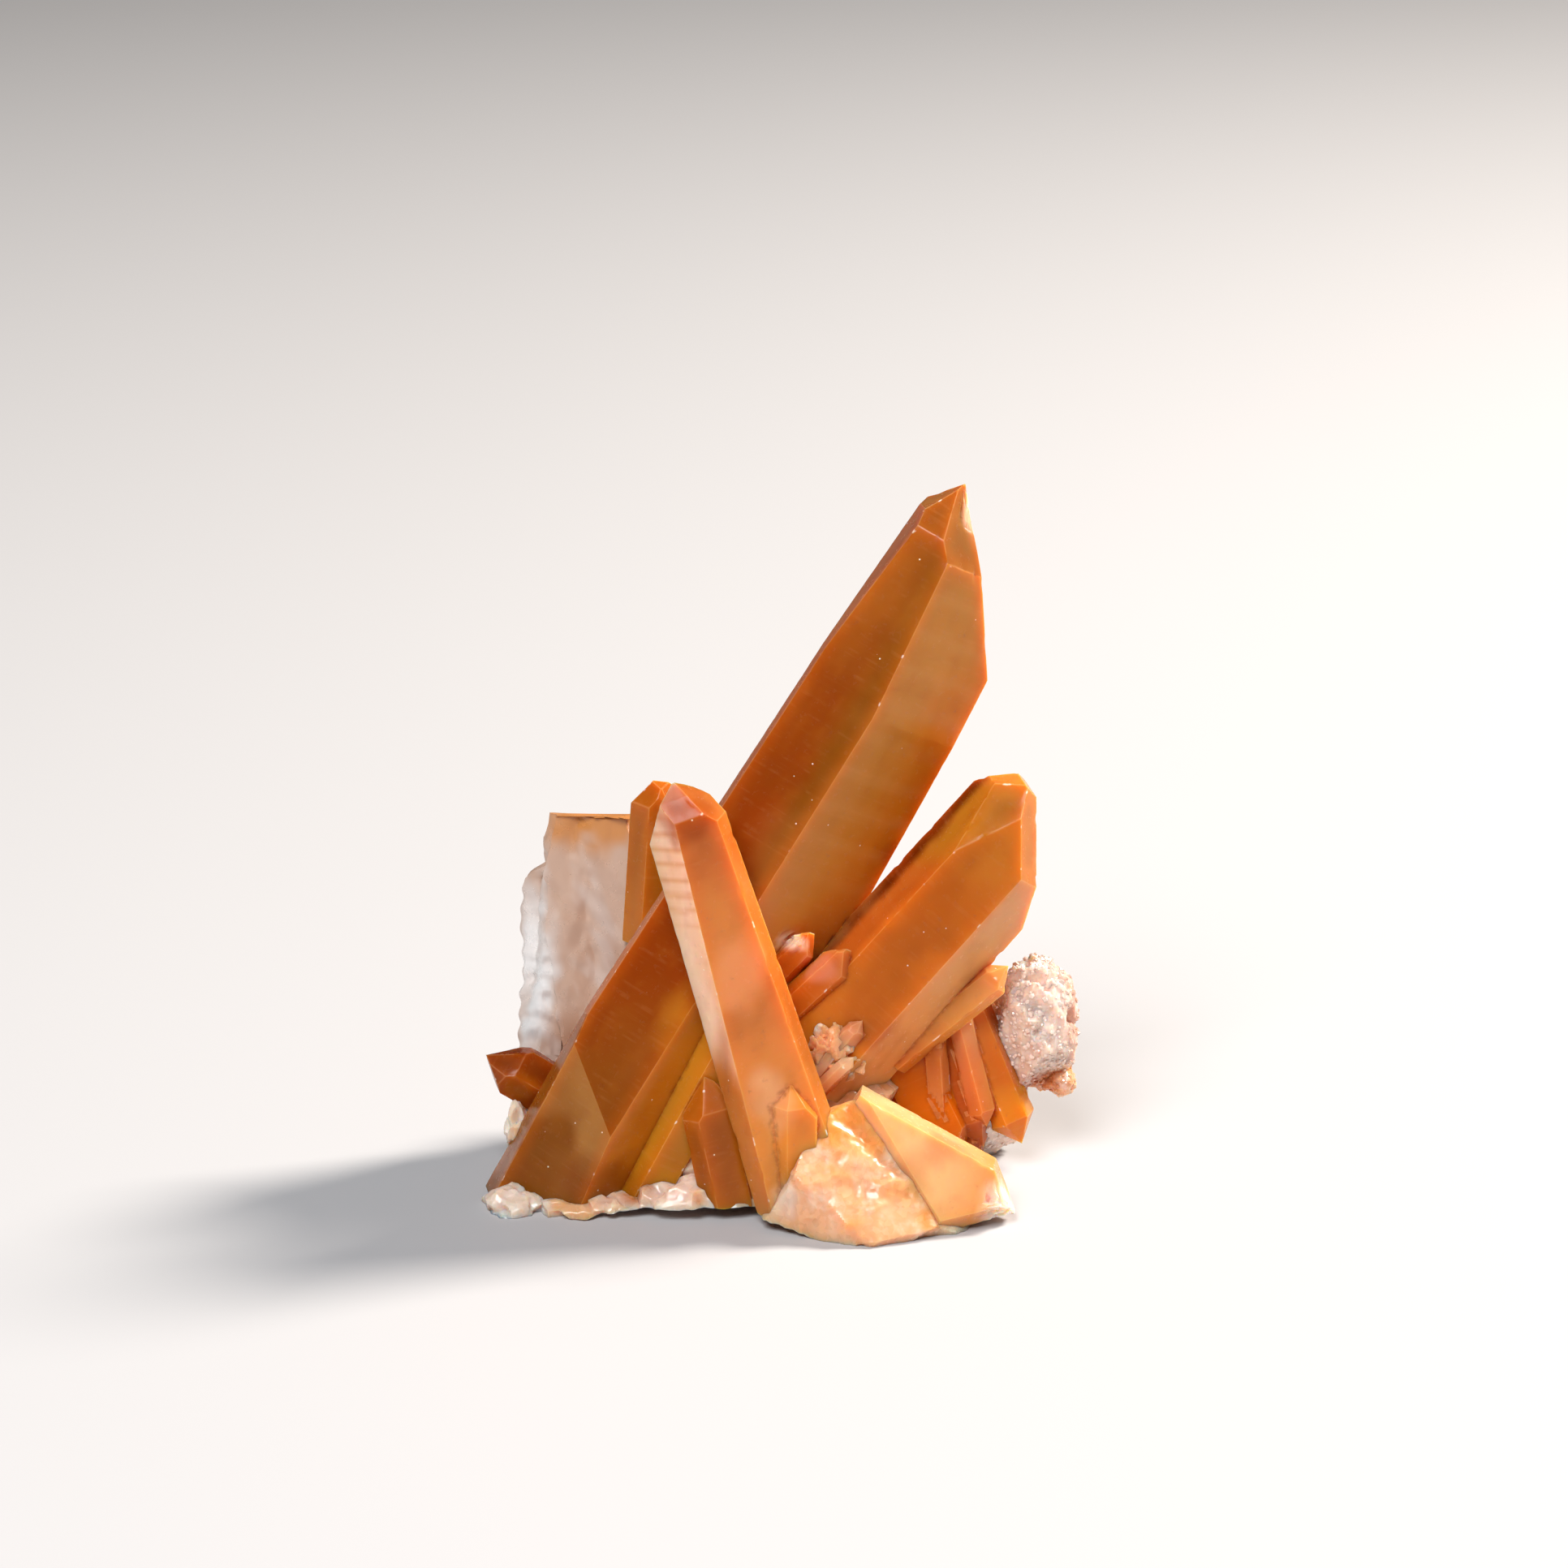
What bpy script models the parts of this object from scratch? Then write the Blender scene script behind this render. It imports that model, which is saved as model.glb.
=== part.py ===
"""Tangerine quartz cluster: iron-stained quartz crystals grown together out of one broken lump of white quartz.

One solid, because the crystals, the clear shard, the sugary druse and the matrix under them grew as one piece.
"""

from math import cos, pi, radians, sin, tan

import bmesh
import bpy
from mathutils import Matrix, Vector

# Driving dimensions, in millimetres and degrees. +Z is up and -Y is the front.
MM = 0.001
END_LEAN = 38.2  # a quartz crystal's end faces lean this far from its long axis
STEP = 60  # the six sides stand this far apart round the axis
GOLDEN = 2.39996  # the golden angle, in radians
BREAK_DEPTH = 0.24  # how deep the broken faces of a lump cut, as a share of its radius
BLOCK = 180  # edge of the block that each crystal is cut from
WELD = 0.001  # points of the finished mesh that are nearer than this are one
MIDDLE = (0.45, 0, 0)  # the places below are from a point this far left of the middle of the finished cluster

STAIN = (0.52, 0.19, 0.05, 1)  # iron-stained quartz, as linear red, green, blue and alpha
GLOSS = 0.28  # roughness of the crystal faces

# Each crystal runs from foot to tip. turn is the heading of its first side, 0 towards the front and 90 to the
# right. sides: how far each side stands from the axis at the foot. taper: how much each comes in for 1 mm of
# length. ends: how far past the tip each end face would cross the axis. cuts: more faces, as (heading, lean, past
# the tip). root: how far the crystal goes on below its foot.
CRYSTALS = {
    "tall": dict(
        foot=(-17.4, -1, -1.6), tip=(15.2, 5, 58), turn=-22, root=9,
        sides=(8.6, 6.1, 9.4, 7.6, 5, 8.2), taper=(0.065, 0, 0, 0, 0.04, 0.08), ends=(1.5, 0.5, 3, 0, 0, 0.7),
        cuts=((38, 5.5, 44), (98, 35.5, 0), (-82, 8.3, 11.4), (-30, -6.9, -122.6), (-80, -3, -200)),
    ),
    "front": dict(
        foot=(3.6, -8.5, 1.4), tip=(-8.2, -8, 36.8), turn=-5,
        sides=(3.3, 3.2, 2.6, 3.5, 4.4, 4.6), ends=(1.2, 0.8, 1, -0.5, -0.5, 0.6),
        cuts=((-65, 6.4, 20.8), (-125, 6, 27.3)),
    ),
    "right": dict(
        foot=(0.5, -1, 11.8), tip=(21.3, 1, 35.1), turn=-10,
        sides=(3.7, 6.1, 8.4, 5, 3.3, 2.7), taper=(0, 0.01, 0.03, 0, 0, 0), ends=(4, 0.4, -0.9, 0, 0, 0.5),
        cuts=((-40, 11.3, 9.5), (100, 80, -1.4)),
    ),
    "under_right": dict(
        foot=(9.5, 0.8, 10.4), tip=(18.9, 0.8, 18.4), turn=-10,
        sides=(1.5, 1.5, 1.3, 1.5, 1.5, 1.5), ends=(0.8, 0.4, 0, 0, 0, 0.6),
    ),
    "back_left": dict(
        foot=(-10.8, 2.5, 20), tip=(-9.8, 2.5, 34.4), turn=12,
        sides=(1.6, 2.2, 2, 1.6, 2, 1.6), ends=(0.4, 0, 1, 0, 0, -0.3),
    ),
    "left_stub": dict(
        foot=(-16.5, 1.5, 5.4), tip=(-24.2, 0.5, 10.8), turn=-20,
        sides=(1.9, 2, 2.4, 2, 2, 2), ends=(0.5, 0, 0, 0, 0.8, 0),
    ),
    "between_feet": dict(
        foot=(-3.4, -7.5, -1), tip=(-6, -7.3, 11.8), turn=15,
        sides=(2, 2.1, 2.4, 2, 2.1, 2.4), ends=(0, 0.5, 0, 0, 0, 0),
    ),
    "front_foot": dict(
        foot=(1.2, -9.5, -1), tip=(1.2, -10, 12.6), turn=20,
        sides=(2.2, 2.2, 2, 2, 2, 2.2), ends=(1, 0, 0, 0, 0, 1),
    ),
    "low_right": dict(
        foot=(5.6, -6.8, 8.2), tip=(19.4, -8.5, 0.8), turn=-52,
        sides=(2.2, 3.4, 3, 3, 2.4, 1.6), ends=(0.6, 0, 0, 0, 1, 0.4),
    ),
    "slim": dict(foot=(13.7, 1, 1), tip=(12.8, 1, 13.6), turn=-12, sides=(0.9, 1, 1, 0.9, 1, 1)),
    "wedge": dict(foot=(9.4, 3.5, 12), tip=(15.4, 2, 0), turn=0, sides=(2.6, 3, 3, 3, 3, 3)),
    "fan_left": dict(foot=(13, 4, 13.5), tip=(17.2, 2, 2), turn=10, sides=(2.1, 2.2, 2, 2, 2, 2.2)),
    "fan_mid": dict(foot=(15, 2, 13.5), tip=(17.4, 0.5, 4.4), turn=-20, sides=(1.2, 1, 1.2, 1.2, 1, 1.2)),
    "fan_right": dict(
        foot=(15.6, 3.5, 14), tip=(20.4, 1.8, 2.4), turn=-15, sides=(1.9, 1.8, 1.8, 1.9, 1.9, 1.8),
    ),
    "fan_low": dict(foot=(12.8, 4, 8), tip=(17, 2.6, 0.3), turn=-15, sides=(1.6,) * 6),
    "mid_small": dict(
        foot=(0.2, -3.4, 15.5), tip=(6, -3.4, 21.2), turn=-12,
        sides=(1.2, 1.4, 1.3, 1.2, 1.4, 1.3), ends=(2, 0, 0, 0, 0, 1),
    ),
    "mid_plate": dict(
        foot=(-2, -2.6, 17), tip=(3, -2.6, 22.4), turn=-10,
        sides=(1, 1.2, 1.2, 1, 1.2, 1.2), ends=(2, 0, 0, 0, 0, 1),
    ),
    "rear_tall": dict(
        foot=(-4, 4.5, 3), tip=(2.6, 13, 29.5), turn=165,
        sides=(3.4, 3, 3.6, 3, 3, 3.2), taper=(0.02,) * 6, ends=(0, 0.8, 0, 0, 0.4, 0),
    ),
    "rear_left": dict(
        foot=(-8, 5, 3), tip=(-12.2, 13.8, 14.5), turn=197,
        sides=(2.4, 2, 2.4, 2.2, 2, 2.4), ends=(0, 0, 0.6, 0, 0, 0),
    ),
    "rear_right": dict(
        foot=(8, 5, 4), tip=(14, 13, 15), turn=150,
        sides=(2.2, 2.4, 2, 2.2, 2.4, 2), ends=(0.4, 0, 0, 0, 0.6, 0),
    ),
    "rear_low": dict(
        foot=(-2, 8, 5), tip=(0, 15.6, 5.5), turn=180,
        sides=(2.4, 2.2, 2.2, 2.4, 2.2, 2.2), ends=(0, 0, 0.5, 0, 0, 0),
    ),
}

# Rough lumps: an egg of the given radii, pushed in and out by up to rough of its radius, with unevenness bumps mm
# across. breaks is how many broken faces go round it. flats are further faces, as (a point on it, the way it faces).
LUMPS = {
    "matrix": dict(middle=(-5, 1.5, 4.5), radii=(17, 9.5, 9), rough=0.2, bumps=6, breaks=22),
    "matrix_front": dict(
        middle=(7.5, -8, 2.5), radii=(10.5, 8.8, 8.6), rough=0.12, bumps=5, breaks=14,
        flats=(
            ((9.5, -10, 7.3), (0.35, -0.62, 0.7)),
            ((9.5, -10, 7.3), (0.2, -0.8, 0.57)),
            ((5, -8, 9.8), (-0.2, -0.2, 1)),
            ((7.2, -7, 10.5), (0.59, 0.15, 0.8)),
        ),
    ),
    "matrix_back": dict(middle=(3, 8, 6), radii=(14, 7.5, 8), rough=0.22, bumps=5, breaks=20),
    "matrix_left": dict(middle=(-22, -6.6, 0.2), radii=(3, 3, 2.4), rough=0.2, bumps=3, breaks=8),
    "crumb": dict(middle=(4.3, -3.8, 12), radii=(2.4, 1.5, 2.6), rough=0.12, bumps=1.5, breaks=8),
    "sliver": dict(middle=(-21.6, -0.5, 4), radii=(1.2, 2.4, 3.4), rough=0.3, bumps=2, breaks=6),
    "druse": dict(middle=(21.3, 5, 12), radii=(4, 4.8, 6.4), rough=0.2, bumps=3, breaks=12),
    "druse_foot": dict(middle=(16.4, 6, 5), radii=(4.8, 5, 6.4), rough=0.22, bumps=4, breaks=12),
    "druse_nub": dict(middle=(23.5, 4.6, 7), radii=(1.6, 1.5, 1.4), rough=0.2, bumps=1.5, breaks=5),
}

# The clear shard: two broken blocks, each a list of faces as (a point on it, the way it faces), and the scoops
# that broke out of its front, as (middle, radii).
SHARD = (
    (
        ((-15, 3, 18), (-0.1, -1, 0.1)), ((-15, 8.2, 18), (0.1, 1, 0.2)), ((-16, 5, 30.2), (0, 0.1, 1)),
        ((-19.6, 5, 28), (-1, -0.2, 0.2)), ((-19.4, 5, 20), (-1, 0.1, -0.1)), ((-9.5, 5, 18), (1, 0, 0.2)),
        ((-15, 5, 5), (0, 0, -1)),
    ),
    (
        ((-18.4, 3.1, 18), (-0.75, -1, 0.12)), ((-20, 8, 18), (-0.2, 1, 0.2)), ((-21, 5, 25), (-0.8, 0, 1)),
        ((-22.2, 5, 16), (-1, 0.1, 0.02)), ((-18, 5, 18), (1, 0, -0.05)), ((-20, 5, 8.6), (-0.4, 0, -1)),
    ),
)
SCOOPS = (
    ((-21.6, 1.6, 21), (1.8, 3, 4.6)), ((-20.6, 0.2, 13), (1.9, 3.6, 5)), ((-16.4, -4.6, 19), (3, 8, 9)),
)

# Little crystals that stand out of the druse: how many, how wide, and how far their feet and tips stand from its
# middle, as a share of its radii, with the share by which the tips differ.
SPARKLES = 26
SPARKLE_SIZE = 0.5
SPARKLE_FOOT, SPARKLE_TIP, SPARKLE_SPREAD = 0.6, 1.06, 0.06
UNDERCUT = dict(middle=(-5, -9.5, -0.8), radii=(12, 6, 2))  # the shallow arch under the front edge


def axes(foot, tip):
    """The crystal's long axis, and the two directions across it that face the front and the right."""
    along = (Vector(tip) - Vector(foot)).normalized()
    front = (Vector((0, -1, 0)) - along * along.dot(Vector((0, -1, 0)))).normalized()
    return along, front, along.cross(front)


def faces(foot, tip, turn, sides, ends=(0,) * 6, taper=(0,) * 6, cuts=(), root=0):
    """Yields every face as (a point on it, the way it faces)."""
    along, front, right = axes(foot, tip)
    for i, (out, rate) in enumerate(zip(sides, taper)):
        heading = radians(turn + STEP * i)
        across = front * cos(heading) + right * sin(heading)
        yield Vector(foot) + across * out, (across + along * rate).normalized()
    ends = [(turn + STEP * i, END_LEAN, past) for i, past in enumerate(ends)]
    for heading, lean, past in (*ends, *cuts):
        across = front * cos(radians(heading)) + right * sin(radians(heading))
        yield Vector(tip) + along * past, (across + along * tan(radians(lean))).normalized()
    yield Vector(foot) - along * root, -along


def cut_from_block(name, planes, middle):
    """A convex solid: a block round middle, with all that lies outside each plane cut off and the cut closed."""
    mesh = bmesh.new()
    bmesh.ops.create_cube(mesh, size=BLOCK, matrix=Matrix.Translation(middle))
    for plane in planes:
        cut_off(mesh, *plane)
    return as_object(name, mesh)


def cut_off(mesh, point, out):
    """Takes away what lies outside the plane through point that faces out, and closes the cut."""
    everything = mesh.verts[:] + mesh.edges[:] + mesh.faces[:]
    cut = bmesh.ops.bisect_plane(mesh, geom=everything, plane_co=point, plane_no=out, clear_outer=True)
    rim = [item for item in cut["geom_cut"] if isinstance(item, bmesh.types.BMEdge)]
    if rim:
        bmesh.ops.edgeloop_fill(mesh, edges=rim)


def as_object(name, mesh):
    bmesh.ops.recalc_face_normals(mesh, faces=mesh.faces)
    bmesh.ops.scale(mesh, vec=(MM, MM, MM), verts=mesh.verts)
    data = bpy.data.meshes.new(name)
    mesh.to_mesh(data)
    mesh.free()
    made = bpy.data.objects.new(name, data)
    bpy.context.scene.collection.objects.link(made)
    return made


def spread(count):
    """Directions all round, evenly apart by the golden angle."""
    for i in range(count):
        rise, heading = 1 - 2 * (i + 0.5) / count, i * GOLDEN
        flat = (1 - rise * rise) ** 0.5
        yield Vector((flat * cos(heading), flat * sin(heading), rise))


def scaled(direction, radii):
    return Vector([a * b for a, b in zip(direction, radii)])


def uneven(place):
    """A number of about -1 to 1 that rises and falls unevenly from place to place: waves that bend each other."""
    x, y, z = place
    return sin(x + 1.3 * sin(y)) * sin(y + 1.7 * sin(z)) + 0.5 * sin(2.3 * z + sin(x)) * sin(2.3 * x + 0.8 * y)


def lump(name, middle, radii, rough=0, bumps=1, breaks=0, flats=(), level=3):
    mesh = bmesh.new()
    bmesh.ops.create_icosphere(mesh, subdivisions=level, radius=1)
    middle = Vector(middle)
    for vert in mesh.verts:
        place = middle + scaled(vert.co, radii)
        vert.co = middle + scaled(vert.co, radii) * (1 + rough * uneven(place * (pi / bumps)))
    planes = list(flats)
    for i, out in enumerate(spread(breaks)):
        depth = 1 - BREAK_DEPTH * (1 + sin(i * 2.1)) / 2
        planes.append((middle + scaled(out, radii) * depth, scaled(out, [1 / r for r in radii]).normalized()))
    for plane in planes:
        cut_off(mesh, *plane)
    return as_object(name, mesh)


def one_piece(made):
    """Leaves only the largest of the pieces: the rest are loose crumbs, and pockets sealed inside."""
    mesh = bmesh.new()
    mesh.from_mesh(made.data)
    bmesh.ops.remove_doubles(mesh, verts=mesh.verts, dist=WELD * MM)
    pieces, unseen = [], set(mesh.verts)
    while unseen:
        piece, edge = set(), [unseen.pop()]
        while edge:
            piece.update(edge)
            edge = {line.other_vert(vert) for vert in edge for line in vert.link_edges} - piece
        unseen -= piece
        pieces.append(piece)
    pieces.sort(key=len)
    bmesh.ops.delete(mesh, geom=[vert for piece in pieces[:-1] for vert in piece])
    mesh.to_mesh(made.data)
    mesh.free()


def joined(name, first, others, operation="UNION"):
    """One solid: first with all the others joined to it, or cut out of it.

    The manifold solver is needed here: the exact one leaves edges with three faces where several crystals meet.
    """
    for other in others:
        step = first.modifiers.new(other.name, "BOOLEAN")
        step.operation, step.solver, step.object = operation, "MANIFOLD", other
    bpy.context.view_layer.update()
    solid = first.evaluated_get(bpy.context.evaluated_depsgraph_get())
    made = bpy.data.objects.new(name, bpy.data.meshes.new_from_object(solid))
    bpy.context.scene.collection.objects.link(made)
    for piece in (first, *others):
        bpy.data.objects.remove(piece)
    return made


def sparkles():
    """Little crystals that stand out of the druse's right-hand side."""
    middle, radii = Vector(LUMPS["druse"]["middle"]), LUMPS["druse"]["radii"]
    for i, out in enumerate(spread(SPARKLES)):
        out.x = abs(out.x)
        foot = middle + scaled(out, radii) * SPARKLE_FOOT
        tip = middle + scaled(out, radii) * (SPARKLE_TIP + SPARKLE_SPREAD * sin(i * 1.7))
        yield cut_from_block(f"sparkle_{i}", faces(foot, tip, i * 37, (SPARKLE_SIZE,) * 6), foot)


def quartz():
    """Iron-stained quartz: a warm brownish orange with glossy faces."""
    stone = bpy.data.materials.new("tangerine_quartz")
    stone.use_nodes = True
    surface = stone.node_tree.nodes["Principled BSDF"].inputs
    surface["Base Color"].default_value = STAIN
    surface["Roughness"].default_value = GLOSS
    surface["Metallic"].default_value = 0
    return stone


for old in list(bpy.data.objects):
    bpy.data.objects.remove(old)

crystals = [
    cut_from_block(name, faces(**shape), (Vector(shape["foot"]) + Vector(shape["tip"])) / 2)
    for name, shape in CRYSTALS.items()
]
lumps = [lump(name, **shape) for name, shape in LUMPS.items()]
blocks = [cut_from_block(f"block_{i}", planes, planes[0][0]) for i, planes in enumerate(SHARD)]
scoops = [lump(f"scoop_{i}", middle, radii) for i, (middle, radii) in enumerate(SCOOPS)]
shard = joined("shard", joined("blocks", blocks[0], blocks[1:]), scoops, "DIFFERENCE")
grown = joined("grown", lumps[0], [*lumps[1:], *crystals, shard, *sparkles()])
below = [cut_from_block("floor", [((0, 0, 0), (0, 0, 1))], (0, 0, 0)), lump("undercut", **UNDERCUT)]
cluster = joined("quartz_cluster", grown, below, "DIFFERENCE")
one_piece(cluster)
cluster.data.transform(Matrix.Translation(Vector(MIDDLE) * -MM))
cluster.data.materials.clear()
cluster.data.materials.append(quartz())
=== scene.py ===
# Tangerine quartz cluster: the looks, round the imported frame
from itertools import combinations

import bpy
import numpy as np
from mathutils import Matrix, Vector


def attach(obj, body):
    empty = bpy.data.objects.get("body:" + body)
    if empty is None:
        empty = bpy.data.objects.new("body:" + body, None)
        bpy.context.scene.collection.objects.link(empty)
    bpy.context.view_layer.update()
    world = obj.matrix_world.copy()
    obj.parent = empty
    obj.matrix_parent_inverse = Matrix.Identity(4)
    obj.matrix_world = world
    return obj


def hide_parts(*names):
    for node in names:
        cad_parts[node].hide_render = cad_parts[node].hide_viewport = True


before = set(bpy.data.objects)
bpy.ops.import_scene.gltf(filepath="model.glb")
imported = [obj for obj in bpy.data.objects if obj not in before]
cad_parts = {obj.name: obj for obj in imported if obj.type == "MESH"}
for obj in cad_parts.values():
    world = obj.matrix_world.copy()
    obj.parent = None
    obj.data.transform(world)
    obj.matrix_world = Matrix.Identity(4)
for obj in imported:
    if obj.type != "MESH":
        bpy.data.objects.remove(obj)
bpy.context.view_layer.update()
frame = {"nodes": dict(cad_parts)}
print("frame loaded:", ", ".join(frame["nodes"]))

# Shapes are worked out in millimetres, in the frame of the specimen before it was centred, and put in metres
# at the end. +Z is up and -Y is the front.
mm = 0.001
middle = np.array([0.45, 0, 0])  # this point comes to the origin
endLean = 38.2  # a quartz crystal's end faces lean this far from its long axis, in degrees
stepRound = 60  # its six sides stand this far apart
golden = 2.39996  # the golden angle, in radians

# The crystals. foot, tip: where the axis starts and ends. turn: the heading of the first side, 0 towards the
# front and 90 to the right. sides: how far each stands from the axis at the foot. taper: how much it comes in
# for 1 mm of length. ends: how far past the tip each end face would cross the axis. cuts: more faces, as
# (heading, lean, past the tip). root: how far it goes on below its foot. tints: its colour at the foot,
# halfway and at the tip. haze: how milky its skin is. cell: how fine its skin is.
crystals = {
    "tall": dict(
        foot=(-17.4, -1, -1.6), tip=(15.2, 5, 58), turn=-22, root=9,
        sides=(8.6, 6.1, 9.4, 7.6, 5, 8.9), taper=(0.065, 0, 0, 0, 0.04, 0.08),
        ends=(1.5, 0.5, 3, 0, 0, 0.7),
        cuts=(
            (38, 5.5, 44), (98, 35.5, 0), (-82, 8.3, 16.2),
            (-30, -6.9, -122.6), (-80, -3, -200), (-112, 3.3, 37.7),
        ),
        tints=("#88480E", "#A45414", "#8A5A2C"), haze=0.1, cell=0.55,
    ),
    "beside": dict(
        foot=(-12.2, -5.4, -1.5), tip=(-2.6, -4.6, 16.5), turn=8, sides=(2.2,) * 6,
        tints=("#C2780E", "#BE7A1C", "#B86A14"), haze=0.1, cell=0.45,
    ),
    "front": dict(
        foot=(3.6, -8.5, 1.4), tip=(-8.2, -8, 36.8), turn=10,
        sides=(2.8, 3.2, 2.2, 3.5, 4.2, 5.4), taper=(0, 0, 0, 0, 0.024, 0),
        ends=(1.2, 0.8, 1, -0.5, 0.2, 2.2),
        cuts=((-50, 4.6, 28.5),),
        tints=("#DC9444", "#DA8440", "#BC6428"), haze=0.3, cell=0.35,
    ),
    "right": dict(
        foot=(0.5, -1, 11.8), tip=(21.3, 1, 35.1), turn=-10,
        sides=(3.7, 6.1, 8.4, 5, 3.3, 2.7), taper=(0, 0.01, 0.03, 0, 0, 0), ends=(4, 0.4, -0.9, 0, 0, 0.5),
        cuts=((-40, 11.3, 9.5), (100, 80, -1.4)),
        tints=("#DA7C20", "#C46A1C", "#C07825"), haze=0.25, cell=0.38,
    ),
    "underRight": dict(
        foot=(9.5, 0.8, 10.4), tip=(18.9, 0.8, 18.4), turn=-10,
        sides=(1.5, 1.5, 1.3, 1.5, 1.5, 1.5), ends=(0.8, 0.4, 0, 0, 0, 0.6),
        tints=("#CC8038", "#D0944C", "#E0A060"), haze=0.3, cell=0.4,
    ),
    "backLeft": dict(
        foot=(-10.8, 2.5, 20), tip=(-9.8, 2.5, 34.4), turn=12,
        sides=(1.6, 2.2, 2, 1.6, 2, 1.6), ends=(0.4, 0, 1, 0, 0, -0.3), cuts=((60, 78, -0.7), (-90, 20, 3.4)),
        tints=("#BC7020", "#A86010", "#B05C14"), haze=0.1, cell=0.4,
    ),
    "leftStub": dict(
        foot=(-16.5, 1.5, 5.4), tip=(-24.2, 0.5, 10.8), turn=-20,
        sides=(1.9, 2, 2.4, 2, 2, 2), ends=(0.5, 0, 0, 0, 0.8, 0),
        tints=("#863400", "#803000", "#702A00"), haze=0.05, cell=0.4,
    ),
    "betweenFeet": dict(
        foot=(-3.4, -7.5, -1), tip=(-6, -7.3, 11.8), turn=15,
        sides=(2, 2.1, 2.4, 2, 2.1, 2.4), ends=(0, 0.5, 0, 0, 0, 0),
        tints=("#B36215", "#AB5C0F", "#A85A10"), haze=0.1, cell=0.45,
    ),
    "frontFoot": dict(
        foot=(1.2, -9.5, -1), tip=(1.2, -10, 12.6), turn=20,
        sides=(2.2, 2.2, 2, 2, 2, 2.2), ends=(1, 0, 0, 0, 0, 1),
        tints=("#E7B370", "#E5903A", "#D88436"), haze=0.3, cell=0.45,
    ),
    "lowRight": dict(
        foot=(5.6, -6.8, 8.2), tip=(19.4, -8.5, 0.8), turn=-92,
        sides=(2.6, 3.2, 0.2, 7, 3, 2.4), taper=(0, 0, -0.53, 0, 0, 0), ends=(0, 2.6, 2, 0, 0, 0),
        tints=("#F2C08A", "#EEB27C", "#C8803C"), haze=0.3, cell=0.42,
    ),
    "slim": dict(
        foot=(13.7, 1, 1), tip=(12.8, 1, 13.6), turn=-12, sides=(0.9, 1, 1, 0.9, 1, 1),
        tints=("#C87838", "#D08A50", "#B0601F"), haze=0.35, cell=0.4,
    ),
    "wedge": dict(
        foot=(9.4, 3.5, 12), tip=(15.4, 2, 0), turn=0, sides=(2.6, 3, 3, 3, 3, 3),
        tints=("#C46208", "#D06A06", "#C05C08"), haze=0.05, cell=0.5,
    ),
    "fanLeft": dict(
        foot=(13, 4, 13.5), tip=(17.2, 2, 2), turn=10, sides=(2.1, 2.2, 2, 2, 2, 2.2),
        tints=("#C0602A", "#B85018", "#A84810"), haze=0.15, cell=0.45,
    ),
    "fanMid": dict(
        foot=(15, 2, 13.5), tip=(17.4, 0.5, 4.4), turn=-20, sides=(1.2, 1, 1.2, 1.2, 1, 1.2),
        tints=("#D79669", "#D07D4B", "#BC5C24"), haze=0.4, cell=0.4,
    ),
    "fanRight": dict(
        foot=(15.6, 3.5, 14), tip=(20.4, 1.8, 2.4), turn=-15, sides=(1.9, 1.8, 1.8, 1.9, 1.9, 1.8),
        tints=("#D07838", "#C8681F", "#D08018"), haze=0.1, cell=0.42,
    ),
    "fanLow": dict(
        foot=(12.8, 4, 8), tip=(17, 2.6, 0.3), turn=-15, sides=(1.6,) * 6,
        tints=("#8A3C0C", "#7A3408", "#8A3C0C"), haze=0.0, cell=0.5,
    ),
    "splinter": dict(
        foot=(2.2, -4.6, 9.4), tip=(6.9, -5, 15.8), turn=-20, sides=(0.9, 0.7, 0.9, 0.9, 0.7, 0.9),
        tints=("#E8A47C", "#E8A884", "#EEB898"), haze=0.4, cell=0.3,
    ),
    "splinterLow": dict(
        foot=(2, -5, 8.4), tip=(6.2, -6, 13), turn=5, sides=(0.8, 0.6, 0.8, 0.8, 0.6, 0.8),
        tints=("#E8A47C", "#E09468", "#EEB898"), haze=0.4, cell=0.3,
    ),
    "midSmall": dict(
        foot=(0.2, -3.4, 15.5), tip=(6, -3.4, 21.2), turn=-12,
        sides=(1.2, 1.4, 1.3, 1.2, 1.4, 1.3), ends=(2, 0, 0, 0, 0, 1),
        tints=("#B85A14", "#BE6218", "#CC8048"), haze=0.2, cell=0.35,
    ),
    "midPlate": dict(
        foot=(-2, -2.6, 17), tip=(3, -2.6, 22.4), turn=-10,
        sides=(1, 1.2, 1.2, 1, 1.2, 1.2), ends=(2, 0, 0, 0, 0, 1),
        tints=("#A84C0C", "#B0540E", "#BA6424"), haze=0.1, cell=0.35,
    ),
    "rearTall": dict(
        foot=(-4, 4.5, 3), tip=(2.6, 13, 29.5), turn=165,
        sides=(3.4, 3, 3.6, 3, 3, 3.2), taper=(0.02,) * 6, ends=(0, 0.8, 0, 0, 0.4, 0),
        tints=("#C0702C", "#C0641F", "#C46C2C"), haze=0.25, cell=0.5,
    ),
    "rearLeft": dict(
        foot=(-8, 5, 3), tip=(-12.2, 13.8, 14.5), turn=197,
        sides=(2.4, 2, 2.4, 2.2, 2, 2.4), ends=(0, 0, 0.6, 0, 0, 0),
        tints=("#C87C38", "#C0641F", "#B8601F"), haze=0.2, cell=0.5,
    ),
    "rearRight": dict(
        foot=(8, 5, 4), tip=(14, 13, 15), turn=150,
        sides=(2.2, 2.4, 2, 2.2, 2.4, 2), ends=(0.4, 0, 0, 0, 0.6, 0),
        tints=("#D08040", "#C8702C", "#C0641F"), haze=0.25, cell=0.5,
    ),
    "rearLow": dict(
        foot=(-2, 8, 5), tip=(0, 15.6, 5.5), turn=180,
        sides=(2.4, 2.2, 2.2, 2.4, 2.2, 2.2), ends=(0, 0, 0.5, 0, 0, 0),
        tints=("#D89858", "#D08040", "#C8702C"), haze=0.3, cell=0.5,
    ),
}

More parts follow.
